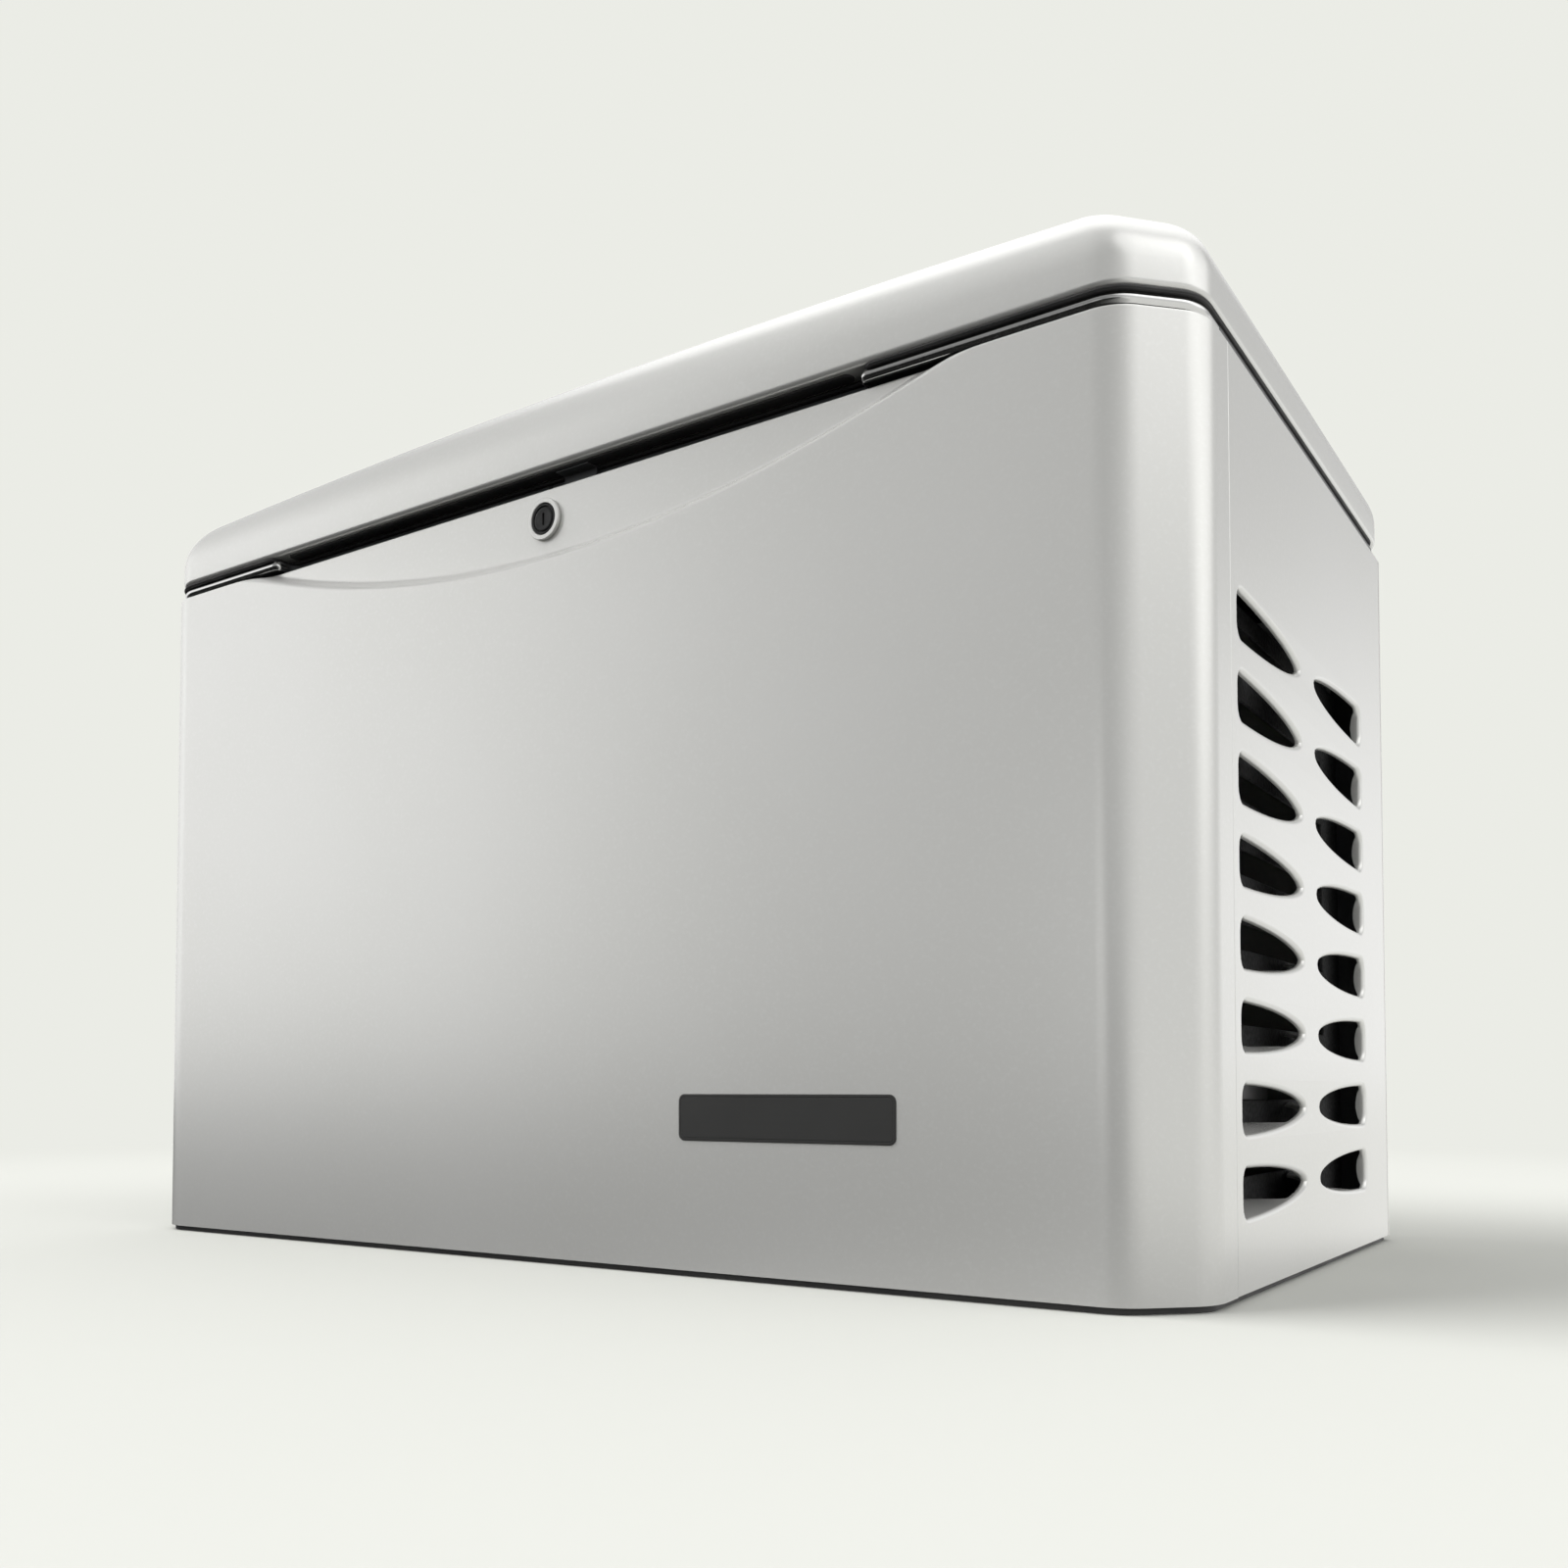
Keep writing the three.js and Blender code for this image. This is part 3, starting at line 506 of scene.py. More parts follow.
def plan(inset, rear_inset=None, grow=0.0, steps=8):
    """The same plan with its corners rounded."""
    radius = max(FILLET - inset, LEAST_FILLET) + FILLET_GROWTH * grow * inset
    return softened(plan_corners(inset, rear_inset, grow), radius, steps)


def outward(points, closed=True):
    """Unit normals on the right-hand side of a path, so outward for a path that runs anticlockwise."""
    made = []
    count = len(points)
    for i, point in enumerate(points):
        before = points[i - 1] if closed or i > 0 else point
        after = points[(i + 1) % count] if closed or i < count - 1 else point
        along = after - before
        made.append(Vector((along.y, -along.x)).normalized())
    return made


def smooth_step(value, start, end):
    """0 before start, 1 after end, and a smooth rise between them."""
    t = min(1.0, max(0.0, (value - start) / (end - start)))
    return t * t * (3 - 2 * t)


# Front and rear panels ----------------------------------------------------

RECESS_HALF = 443
RECESS_DROP = 74
RECESS_DEPTH = 12
RECESS_STEP = 13
RECESS_FLARE = 0.1
RECESS_END = 1.12
RECESS_MARGIN = 52
RECESS_GRID = 2.0
RECESS_ROWS_FROM, RECESS_ROW, RECESS_ROWS = 640, 1.2, 73
PANEL_ROWS = 12
REAR_FILLET = 30
REAR_TOP = TOP - 6


def recess_edge(x):
    """Height of the arc under the finger recess. It flares out into the panel's top edge."""
    fall = 1 - (x / RECESS_HALF) ** 2
    flare = 1 - smooth_step(abs(x) / RECESS_HALF, 1.0, RECESS_END)
    return TOP - RECESS_DROP * flare * (fall + math.hypot(fall, RECESS_FLARE)) / 2


def recess_depth(x, z):
    """How far the panel is pushed in."""
    return RECESS_DEPTH * smooth_step(z - recess_edge(x), 0, RECESS_STEP)


def rolled_top(radius=1.6, steps=4):
    """The last rows of a panel, as (height, inset) pairs, where its top edge turns inward."""
    rows = []
    for step in range(steps + 1):
        angle = math.pi / 2 * step / steps
        rows.append((TOP - radius * (1 - math.sin(angle)), radius * (1 - math.cos(angle))))
    return rows


def wrapped_panel(name, node, path, heights, sink):
    """A sheet panel along a plan path. sink gives how far each point is pushed in."""
    normals = outward(path, closed=False)
    rows = []
    for z, inset in [(h, 0.0) for h in heights] + rolled_top():
        row = []
        for point, normal in zip(path, normals):
            deep = inset + sink(point, z)
            row.append((point.x - normal.x * deep, point.y - normal.y * deep, z))
        rows.append(row)
    skin = Skin()
    skin.grid(rows)
    piece = place(name, skin.mesh(name, closed=False), node)
    modify(piece, "SOLIDIFY", thickness=SHEET * MM, offset=-1, use_even_offset=True)
    modify(
        piece, "BEVEL", width=0.4 * MM, segments=2, limit_method="ANGLE", angle_limit=math.radians(60),
    )
    return settle(piece)


def front_panel():
    """One sheet round both front corners, on a fine grid where the finger recess is."""
    corners = [
        (-HALF_X, FRONT_SEAM), (-HALF_X, -HALF_Y + CHAMFER), (-HALF_X + CHAMFER, -HALF_Y),
        (HALF_X - CHAMFER, -HALF_Y), (HALF_X, -HALF_Y + CHAMFER), (HALF_X, FRONT_SEAM),
    ]
    path = softened(corners, FILLET, 12, closed=False)
    fine = []
    for a, b in zip(path, path[1:]):
        fine.append(a)
        if b.x - a.x > HALF_X:
            reach = RECESS_HALF + RECESS_MARGIN
            count = int(2 * reach / RECESS_GRID)
            fine.append(Vector(((a.x - reach) / 2, a.y)))
            fine.extend(Vector((-reach + RECESS_GRID * i, a.y)) for i in range(count + 1))
            fine.append(Vector(((b.x + reach) / 2, a.y)))
    fine.append(path[-1])
    plain = RECESS_ROWS_FROM - BOTTOM
    heights = [BOTTOM + plain * i / PANEL_ROWS for i in range(PANEL_ROWS + 1)]
    heights += [RECESS_ROWS_FROM + RECESS_ROW * i for i in range(1, RECESS_ROWS + 1)]

    def sink(point, z):
        return recess_depth(point.x, z) if point.y < -HALF_Y + 0.01 else 0.0

    return wrapped_panel("front_panel_skin", "front_panel", fine, heights, sink)


def rear_panel():
    """One sheet round both rear corners."""
    corners = [
        (HALF_X, REAR_SEAM), (HALF_X, HALF_Y - CHAMFER), (HALF_X - CHAMFER, HALF_Y),
        (-HALF_X + CHAMFER, HALF_Y), (-HALF_X, HALF_Y - CHAMFER), (-HALF_X, REAR_SEAM),
    ]
    path = softened(corners, REAR_FILLET, 12, closed=False)
    heights = [BOTTOM + (REAR_TOP - BOTTOM) * i / PANEL_ROWS for i in range(PANEL_ROWS + 1)]
    return wrapped_panel("rear_panel_skin", "rear_panel", path, heights, lambda point, z: 0.0)


# Louvred side panels ------------------------------------------------------

LOUVRE_LENGTH = 188
LOUVRE_HALF = 19
LOUVRE_ROWS = 8
LOUVRE_LOWEST = 80.6
LOUVRE_PITCH = 63.8
# Where the blunt end and the tip of each column's leaves lie, front column first
LOUVRE_COLUMNS = [
    (-HALF_Y + 119, -HALF_Y + 119 + LOUVRE_LENGTH), (-HALF_Y + 545, -HALF_Y + 545 - LOUVRE_LENGTH),
]
LEAF_BLUNTNESS = 0.55
LEAF_CORNER = 11
LEAF_STEPS = 20
LEAF_CROWDING = 1.7
LEAF_SPACING = 6.0
LIP_GAUGE = 1.4
LIP_ROUND = 4.0
LIP_LEAST, LIP_MOST = 5.5, 31
LIP_RISE = 14
BLUNT_BULGE = 4.5
RIM = 1.4
RIM_PARTS = 14


def leaf_half(along):
    """A leaf's height as a share of its greatest, from along = 0 at the blunt end to 1 at the tip."""
    return max(0.0, 1 - along ** 2) ** LEAF_BLUNTNESS


def leaf_outline(flat_y, tip_y, middle_z):
    """An opening as (y, z) points, anticlockwise seen from +X."""
    edge = []
    for i in range(LEAF_STEPS + 1):
        along = 1 - (1 - i / LEAF_STEPS) ** LEAF_CROWDING
        edge.append((flat_y + (tip_y - flat_y) * along, LOUVRE_HALF * leaf_half(along)))
    lower = [Vector((y, middle_z - half)) for y, half in edge]
    upper = [Vector((y, middle_z + half)) for y, half in edge[-2::-1]]
    loop = lower + upper
    first, last = loop[0], loop[-1]
    loop = (
        rounded_corner(last, first, loop[1], LEAF_CORNER, 4)
        + [p for p in loop[1:-1] if abs(p.x - flat_y) > LEAF_CORNER + 0.6]
        + rounded_corner(loop[-2], last, first, LEAF_CORNER, 4)
    )
    loop = spaced(loop, LEAF_SPACING)
    return loop if tip_y > flat_y else loop[::-1]


def leaf_section(point, normal, flat_y, tip_y, middle_z):
    """The drawn lip of an opening at one point, as (outward, depth, up) steps from face to back.

    Its lower edge slopes up into the enclosure."""
    along = abs(point.x - flat_y) / LOUVRE_LENGTH
    height = 2 * LOUVRE_HALF * leaf_half(min(1.0, along))
    lower = max(0.0, -normal.y)
    reach = max(0.0, 1 - (point.x - min(flat_y, tip_y)) / (0.75 * LOUVRE_LENGTH))
    rise = min(LIP_RISE * reach, 0.8 * height) * smooth_step(lower, 0.2, 0.7)
    bulge = BLUNT_BULGE * smooth_step(-normal.x * math.copysign(1, tip_y - flat_y), 0.6, 1.0)
    bulge *= max(0.0, 1 - ((point.y - middle_z) / LOUVRE_HALF) ** 2)
    lip = LIP_LEAST + bulge + (LIP_MOST - LIP_LEAST) * smooth_step(rise, 0.0, 2.5)
    section = []
    for step in range(5):
        angle = math.pi / 2 * step / 4
        section.append((LIP_ROUND * (1 - math.sin(angle)), LIP_ROUND * (1 - math.cos(angle)), 0.0))
    return section + [
        (0.0, (LIP_ROUND + lip) / 2 + 0.6, rise * 0.42), (0.0, lip, rise),
        (LIP_GAUGE, lip, rise), (LIP_ROUND, SHEET, 0.0),
    ]


def side_panel(name, node, side):
    """A sheet panel with two columns of louvre openings. side is 1 at the right and -1 at the left."""
    y0, y1 = FRONT_SEAM + 0.6, REAR_SEAM - 0.6

    def at(y, z, depth):
        return (side * (HALF_X - depth), y, z)

    def edge_loop(offset):
        low, high = Vector((y0 + offset, BOTTOM + offset)), Vector((y1 - offset, TOP - offset))
        ends = [low, Vector((high.x, low.y)), high, Vector((low.x, high.y))]
        stretches = zip(ends, ends[1:] + ends[:1])
        return [a.lerp(b, i / RIM_PARTS) for a, b in stretches for i in range(RIM_PARTS)]

    rim_rows = [(SHEET, 0)]
    for step in range(5):
        angle = math.pi / 2 * step / 4
        rim_rows.append((RIM * (1 - math.sin(angle)), RIM * (1 - math.cos(angle))))
    skin = Skin()
    skin.grid([[at(p.x, p.y, depth) for p in edge_loop(offset)] for depth, offset in rim_rows], closed=True)
    outer_holes = []
    inner_holes = []
    for row in range(LOUVRE_ROWS):
        middle = LOUVRE_LOWEST + LOUVRE_PITCH * row
        for flat_y, tip_y in LOUVRE_COLUMNS:
            loop = leaf_outline(flat_y, tip_y, middle)
            sections = []
            for point, normal in zip(loop, outward(loop)):
                section = leaf_section(point, normal, flat_y, tip_y, middle)
                sections.append([
                    at(point.x + normal.x * off, point.y + normal.y * off + up, depth)
                    for off, depth, up in section
                ])
            rows = [list(row_points) for row_points in zip(*sections)]
            skin.grid(rows, closed=True)
            outer_holes.append(rows[0])
            inner_holes.append(rows[-1])
    skin.flat([at(p.x, p.y, 0) for p in edge_loop(RIM)], outer_holes)
    skin.flat([at(p.x, p.y, SHEET) for p in edge_loop(0)], inner_holes)
    return settle(place(name, skin.mesh(name), node), 32)


# Lid ----------------------------------------------------------------------

LID_SKIRT_TOP = 768
LID_SKIRT = 15
LID_INSET = 2.5
LID_CURVE = 72
LID_RISE = 60
LID_CROWN = 18
LID_DOME = 6
LID_HEM = 5
LID_FLANGE = 50
LID_GROWTH = 0.35
LID_SPACING = 28
LID_GAUGE = 2.5


def crown(x):
    """Extra height of the lid towards its middle."""
    return LID_CROWN * (1 - (x / HALF_X) ** 2)


def lid_shell():
    """The lid: a flange and rolled hem below, a short skirt, a quarter-round edge and a shallow dome."""
    inset, hem = LID_INSET, LID_HEM
    corners = plan(inset, inset, LID_GROWTH, 10)
    counts = []
    for a, b in zip(corners, corners[1:] + corners[:1]):
        counts.append(max(1, math.ceil((b - a).length / LID_SPACING)))

    def loop_at(offset, grow=LID_GROWTH):
        points = plan(offset, offset, grow, 10)
        made = []
        for (a, b), parts in zip(zip(points, points[1:] + points[:1]), counts):
            made.extend(a.lerp(b, i / parts) for i in range(parts))
        return made

    rows = []
    rows.append([(p.x, p.y, LID_BOTTOM) for p in loop_at(LID_FLANGE, 0.0)])
    rows.append([(p.x, p.y, LID_BOTTOM) for p in loop_at(inset + hem + 14, 0.0)])
    for step in range(9):
        angle = math.pi / 2 * step / 8
        offset = inset + hem * (1 - math.sin(angle))
        z = LID_BOTTOM + hem * (1 - math.cos(angle))
        rows.append([(p.x, p.y, z) for p in loop_at(offset, LID_GROWTH * step / 8)])
    rows.append([(p.x, p.y, LID_BOTTOM + LID_SKIRT) for p in loop_at(inset)])
    edge_steps, dome_steps = 22, 12
    for step in range(edge_steps + 1):
        turn = math.pi / 2 * step / edge_steps
        loop = loop_at(inset + LID_CURVE - LID_CURVE * math.cos(turn))
        rows.append([(p.x, p.y, LID_SKIRT_TOP + (LID_RISE + crown(p.x)) * math.sin(turn)) for p in loop])
    spine = HALF_X - HALF_Y - 20
    for step in range(1, dome_steps + 1):
        t = step / dome_steps
        row = []
        for p in loop:
            target = Vector((max(-spine, min(spine, p.x)), 0))
            q = p.lerp(target, t)
            dome = LID_DOME * (1 - (q.y / HALF_Y) ** 2) - 2.25 * (1 - smooth_step(t, 0, 0.6))
            row.append((q.x, q.y, LID_SKIRT_TOP + LID_RISE + crown(q.x) + dome * smooth_step(t, 0, 0.5)))
        rows.append(row)
    skin = Skin()
    skin.grid(rows, closed=True)
    piece = place("lid_skin", skin.mesh("lid_skin", closed=False, weld=0.3), "lid_shell")
    modify(piece, "SOLIDIFY", thickness=LID_GAUGE * MM, offset=-1, use_even_offset=True)
    return settle(piece, 50, weighted=False)


# Frame under the lid ------------------------------------------------------

NOTCH_LEFT, NOTCH_RIGHT, NOTCH_BACK = -395, 350, -325
LIP_LOW, LIP_HIGH = 733.2, 742.6
FLANGE_LOW = 738
FRAME_LOW = 6.3
FLANGE_INSET, FLANGE_REAR_INSET, FLANGE_INNER = 9, 19, 52
SKIRT_LOW = 700
CLEAR = 0.01


def strip(skin, path, section, closed=True):
    """Sweeps a closed section of (inset, height) points along a plan path."""
    normals = outward(path, closed)
    rows = [
        [(p.x - n.x * inset, p.y - n.y * inset, z) for p, n in zip(path, normals)] for inset, z in section
    ]
    skin.grid(rows + rows[:1], closed)
    if not closed:
        for end in (0, -1):
            start = len(skin.points)
            skin.points.extend(row[end] for row in rows)
            skin.faces.append(tuple(range(start, start + len(rows))))


def slab(inset, thickness, z0, z1, edge=0.9, bulge=0.0):
    """A section for strip(): a thin upright wall with softened edges and a bowed face."""
    face = []
    for step in range(7):
        t = step / 6
        face.append((inset - bulge * 4 * t * (1 - t), z0 + edge + (z1 - z0 - 2 * edge) * t))
    back = inset + thickness
    soft = edge * 0.3
    return face + [
        (inset + soft, z1 - soft), (inset + edge, z1), (back - edge, z1), (back - soft, z1 - soft),
        (back, z1 - edge), (back, z0 + edge), (back - soft, z0 + soft), (back - edge, z0),
        (inset + edge, z0), (inset + soft, z0 + soft),
    ]


def notched(corners, left, right, front, back):
    """A plan outline with the finger notch cut into its front side."""
    return corners[-1:] + [(left, front), (left, back), (right, back), (right, front)] + corners[:-1]


def lid_lip():
    """The bright strips under the lid. Their front ends curl back into the finger notch."""
    front = -HALF_Y + 5
    side, setback = HALF_X - 5, CHAMFER - 3
    skin = Skin()
    for start, across in ((NOTCH_RIGHT, 1), (NOTCH_LEFT, -1)):
        corners = [(start, front + 14), (start, front), (across * (side - setback), front),
                   (across * side, front + setback), (across * side, front + setback + 40)]
        path = softened(corners, [0, 7, FILLET - 5, FILLET - 5, 0], 10, closed=False)
        if across < 0:
            path = path[::-1]
        section = slab(0.8, 2.2, LIP_LOW, LIP_HIGH, 1.2, 1.6)
        strip(skin, spaced(path, 60, closed=False), section, closed=False)
    piece = place("frame_lip", skin.mesh("frame_lip"), "inner_frame")
    piece.data.materials[0] = TRIM
    return settle(piece, 40)


def inner_frame():
    """The dark frame: a notched flange with its skirts, the lips of the sides and rear, four posts."""
    skin = Skin()
    fillet = FILLET - FLANGE_INSET
    outer = softened(
        notched(
            plan_corners(FLANGE_INSET, FLANGE_REAR_INSET),
            NOTCH_LEFT, NOTCH_RIGHT, -HALF_Y + FLANGE_INSET, NOTCH_BACK,
        ),
        [fillet, 4, 9, 9, 4] + [fillet] * 7, 6,
    )
    inner = plan(FLANGE_INNER, FLANGE_INNER)
    for z in (FLANGE_LOW, LIP_HIGH):
        skin.flat([(p.x, p.y, z) for p in outer], [[(p.x, p.y, z) for p in inner]])
    for loop in (outer, inner):
        skin.grid([[(p.x, p.y, z) for p in loop] for z in (FLANGE_LOW, LIP_HIGH)], closed=True)
    strip(skin, spaced(outer, 80), slab(0.1, 1.6, LIP_LOW + 0.5, FLANGE_LOW - CLEAR, 0.3))
    strip(skin, plan(49, 49), slab(0, 2.9, SKIRT_LOW, FLANGE_LOW - CLEAR, 0.9))
    around = plan_corners(5, 15)[1:7]
    around[0] = (around[0][0], around[0][1] + 42)
    around[-1] = (around[-1][0], around[-1][1] + 42)
    side_lip = spaced(softened(around, [0] + [FILLET - 5] * 4 + [0], 8, closed=False), 60, closed=False)
    strip(skin, side_lip, slab(0, 5, LIP_LOW, LIP_HIGH, 1.2, 0.8), closed=False)
    rear_wall = softened(plan_corners(20, 17)[2:6], [0, 25, 25, 0], 8, closed=False)
    rear_section = slab(0, 3, SKIRT_LOW, LIP_LOW + 0.6, 0.5)
    strip(skin, spaced(rear_wall, 60, closed=False), rear_section, closed=False)
    low, high = FRAME_LOW, FLANGE_LOW - CLEAR
    for across in (-1, 1):
        for along in (-1, 1):
            profile = [(606, 237), (609, 237), (609, 288), (570, 288), (570, 285), (606, 285)]
            corners = [(across * x, along * y) for x, y in profile]
            loop = softened(corners, [0.6, 0.6, 4.5, 0.6, 0.6, 1.5], 4)
            skin.grid([[(p.x, p.y, z) for p in loop] for z in (low, high)], closed=True)
            for z in (low, high):
                skin.flat([(p.x, p.y, z) for p in loop])
    return settle(place("frame_ring", skin.mesh("frame_ring"), "inner_frame"), 35)


def lid_gasket():
    """The black rubber strip between the frame and the lid. It turns in behind the finger notch."""
    inset, rear_inset, gauge, margin = 3.5, 24, 8, 4
    fillet = FILLET - inset
    path = softened(
        notched(
            plan_corners(inset, rear_inset),
            NOTCH_LEFT - margin, NOTCH_RIGHT + margin, -HALF_Y + inset, NOTCH_BACK - margin,
        ),
        [fillet, 9, 4, 4, 9] + [fillet] * 7, 8,
    )
    skin = Skin()
    strip(skin, spaced(path, 60), slab(0, gauge, LIP_HIGH + 0.2, LID_BOTTOM - 0.2, 0.8, 0.7))
    return settle(place("lid_gasket", skin.mesh("lid_gasket"), "lid_seal"), 40)


def lid_grip_and_shade_pad():
    """A black rubber strip under the lid, over the finger notch: a grip pad, and painted shade that puts
    black where the notch is in shade.
    """
    margin, front, back = 12, -345, -331
    skin = Skin()
    loops = []
    for inset, z in ((0, 746.4), (0, 745.6), (0.5, 745.1), (1.3, 744.9)):
        left, right = NOTCH_LEFT + margin + inset, NOTCH_RIGHT - margin - inset
        near, far = front + inset, back - inset
        corners = [(left, near), (right, near), (right, far), (left, far)]
        loops.append([(p.x, p.y, z) for p in softened(corners, 6 - inset, 6)])
    skin.grid(loops, closed=True)
    skin.flat(loops[0])
    skin.flat(loops[-1])
    piece = bpy.data.objects.new("lid_grip_and_shade_pad", skin.mesh("lid_grip_and_shade_pad"))
    bpy.context.scene.collection.objects.link(piece)
    piece.data.materials.append(FINISHES["rubber"])
    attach(piece, "lid")
    return settle(piece, 30)


# Carried-over nodes with softened edges -----------------------------------

SOFT_SEGMENTS = 2
SOFT_ANGLE = 28.0


def refined(node, width):
    """A copy of a CAD node with its flat faces joined up and its edges rounded over."""
    shape = bmesh.new()
    shape.from_mesh(nodes[node].data)
    bmesh.ops.remove_doubles(shape, verts=shape.verts, dist=1e-6)
    bmesh.ops.dissolve_limit(shape, angle_limit=math.radians(0.5), verts=shape.verts, edges=shape.edges)
    piece = place(node + "_fine", to_data(shape, node + "_fine"), node)
    modify(
        piece, "BEVEL", width=width * MM, segments=SOFT_SEGMENTS, limit_method="ANGLE",
        angle_limit=math.radians(SOFT_ANGLE), use_clamp_overlap=True,
    )
    return settle(piece, 40)


def badge_plate():
    """A plain dark plate with a softened rim and a fine raised border."""
    skin = Skin()
    face = -HALF_Y - 0.9
    loops = []
    profile = [
        (0, -HALF_Y + 1.2), (0, face + 0.5), (0.15, face + 0.15), (0.5, face), (1.9, face),
        (2.2, face + 0.35), (2.6, face + 0.35), (2.9, face + 0.1),
    ]
    for inset, y in profile:
        left, right, low, high = 172 + inset, 386 - inset, 116 + inset, 156 - inset
        outline = softened([(left, low), (right, low), (right, high), (left, high)], max(6 - inset, 1.5), 8)
        loops.append([(p.x, y, p.y) for p in outline])
    skin.grid(loops, closed=True)
    skin.flat(loops[-1])
    skin.flat(loops[0])
    return settle(place("badge_blank", skin.mesh("badge_blank"), "badge_plate"), 30)


def lock_face():
    """The key barrel: a rimmed face with a groove, a keyway, and the shank that holds the cam."""
    centre = 701
    sides = 64

    def circle(radius, y):
        turns = [2 * math.pi * i / sides for i in range(sides)]
        return [(radius * math.cos(a), y, centre + radius * math.sin(a)) for a in turns]

    def slot(y):
        corners = [(-1.3, -6.2), (1.3, -6.2), (1.3, 6.2), (-1.3, 6.2)]
        return [(p.x, y, centre + p.y) for p in softened(corners, 1.2, 6)]

    skin = Skin()
    # From the shank's end, over the rim and the groove, to the raised face: (radius, y)
    profile = [
        (6, -333.4), (6, -337), (9.2, -337), (9.2, -343.4), (14.2, -343.4), (14.6, -343.8),
        (14.6, -345.8), (14.3, -346.25), (13.7, -346.4), (12.8, -346.35), (12.4, -345.9), (12.2, -344.9),
        (11.5, -344.9), (11.3, -345.9), (10.8, -346.3), (10, -346.4), (8.6, -346.4), (7.6, -346.1),
    ]
    skin.grid([circle(radius, y) for radius, y in profile], closed=True)
    skin.flat(circle(*profile[0]))
    face, depth = profile[-1][1], -341.5
    skin.flat(circle(*profile[-1]), [slot(face)])
    skin.grid([slot(face), slot(face + 0.4), slot(depth)], closed=True)
    skin.flat(slot(depth))
    return settle(place("lock_face", skin.mesh("lock_face"), "lock_barrel"), 35)


def fuel_line():
    """The rubber hose from the regulator to the mixer, with a thicker cuff at each end."""
    hose, cuff, cuff_from, cuff_to, sides = 8.8, 9.6, 4, 14, 24
    route = [
        (400.4, 175, 190), (388, 175, 190), (368, 175, 193), (325, 168, 225), (308, 140, 320),
        (285, 90, 398), (235, 45, 412), (175, 12, 402), (130, 0, 389), (104.4, 0, 388),
    ]
    points = [Vector(p) for p in route]
    curve = []
    for i in range(len(points) - 1):
        before = points[max(i - 1, 0)]
        a, b = points[i], points[i + 1]
        after = points[min(i + 2, len(points) - 1)]
        for k in range(10):
            t = k / 10
            curve.append(0.5 * (2 * a + (b - before) * t + (2 * before - 5 * a + 4 * b - after) * t * t
                                + (3 * a - before - 3 * b + after) * t ** 3))
    curve.append(points[-1])
    skin = Skin()
    rings = []
    side = Vector((0, 0, 1))
    for i, here in enumerate(curve):
        along = (curve[min(i + 1, len(curve) - 1)] - curve[max(i - 1, 0)]).normalized()
        side = (side - along * side.dot(along)).normalized()
        other = along.cross(side)
        reach = min((here - curve[0]).length, (here - curve[-1]).length)
        radius = cuff if cuff_from < reach < cuff_to else hose
        rings.append([here + (side * math.cos(a) + other * math.sin(a)) * radius
                      for a in (2 * math.pi * j / sides for j in range(sides))])
    skin.grid([[tuple(p) for p in ring] for ring in rings], closed=True)
    for ring in (rings[0], rings[-1]):
        start = len(skin.points)
        skin.points.extend(tuple(p) for p in ring)
        skin.faces.append(tuple(range(start, start + len(ring))))
    return settle(place("fuel_line", skin.mesh("fuel_line"), "fuel_hose"), 35)


lock_face()
fuel_line()
badge_plate()
front_panel()
rear_panel()
side_panel("right_side_skin", "right_side_panel", 1)
side_panel("left_side_skin", "left_side_panel", -1)
lid_shell()
lid_lip()
inner_frame()
lid_gasket()
lid_grip_and_shade_pad()

# Width of the rounded edges of each refined node
SOFT_EDGES = {
    "base_pan": 1.0, "lock_bezel": 0.8, "lock_cam": 0.5, "lid_keeper": 0.6,
    "crankcase": 3, "cylinder_front": 1, "cylinder_rear": 1, "valve_cover_front": 4, "valve_cover_rear": 4,
    "blower_housing": 2, "flywheel_fan": 0.8,
    "alternator_stator": 2, "alternator_end_cover": 2, "alternator_rotor": 1,
    "gas_mixer": 1.5, "air_cleaner": 4, "gas_regulator": 2, "muffler": 2, "exhaust_manifold": 1,
    "battery": 2.5, "controller_housing": 3, "breaker_body": 1.5, "breaker_toggle": 0.8,
    "button_off": 1, "button_auto": 1, "button_run": 1, "display_window": 0.6,
    "starter_motor": 1.5, "oil_filter": 1.2, "dipstick": 1,
    "strut_cylinder": 0.8, "strut_rod": 0.6, "strut_foot": 0.8, "strut_stud": 0.8,
    "divider_bulkhead": 0.6, "right_louvre_baffle": 0.5, "left_louvre_baffle": 0.5,
    "hinge_body_leaf_left": 0.5, "hinge_body_leaf_right": 0.5,
    "hinge_lid_leaf_left": 0.4, "hinge_lid_leaf_right": 0.4, "hinge_pin_left": 0.9, "hinge_pin_right": 0.9,
    "crankshaft": 1.5, "spark_plug_front": 0.6, "spark_plug_rear": 0.6,
    "isolator_1": 1.2, "isolator_2": 1.2, "isolator_3": 1.2, "isolator_4": 1.2,
}
for node_name, soft_edge in SOFT_EDGES.items():
    refined(node_name, soft_edge)


# Light, floor and background ----------------------------------------------

BACKGROUND = (0.831, 0.840, 0.791)
FLOOR_ALBEDO = (0.49, 0.495, 0.467)
# Brightness round the horizon, by degrees from straight ahead of the front panel towards its right
AROUND = [
    (-180, 0.7), (-120, 0.75), (-92, 1.05), (-75, 1.45), (-57, 1.42), (-49, 1.28), (-43, 0.93),
    (-37, 0.56), (-28, 0.32), (-20, 0.27), (-8, 0.25), (5, 0.3), (20, 0.45), (38, 0.68), (55, 0.85),
    (80, 0.88), (104, 1.25), (122, 0.95), (145, 0.62), (180, 0.62),
]
# Brightness overhead, by the upward part of the direction
ABOVE = [(0.0, 0.5), (0.4, 0.38), (0.7, 0.32), (1.0, 0.45)]
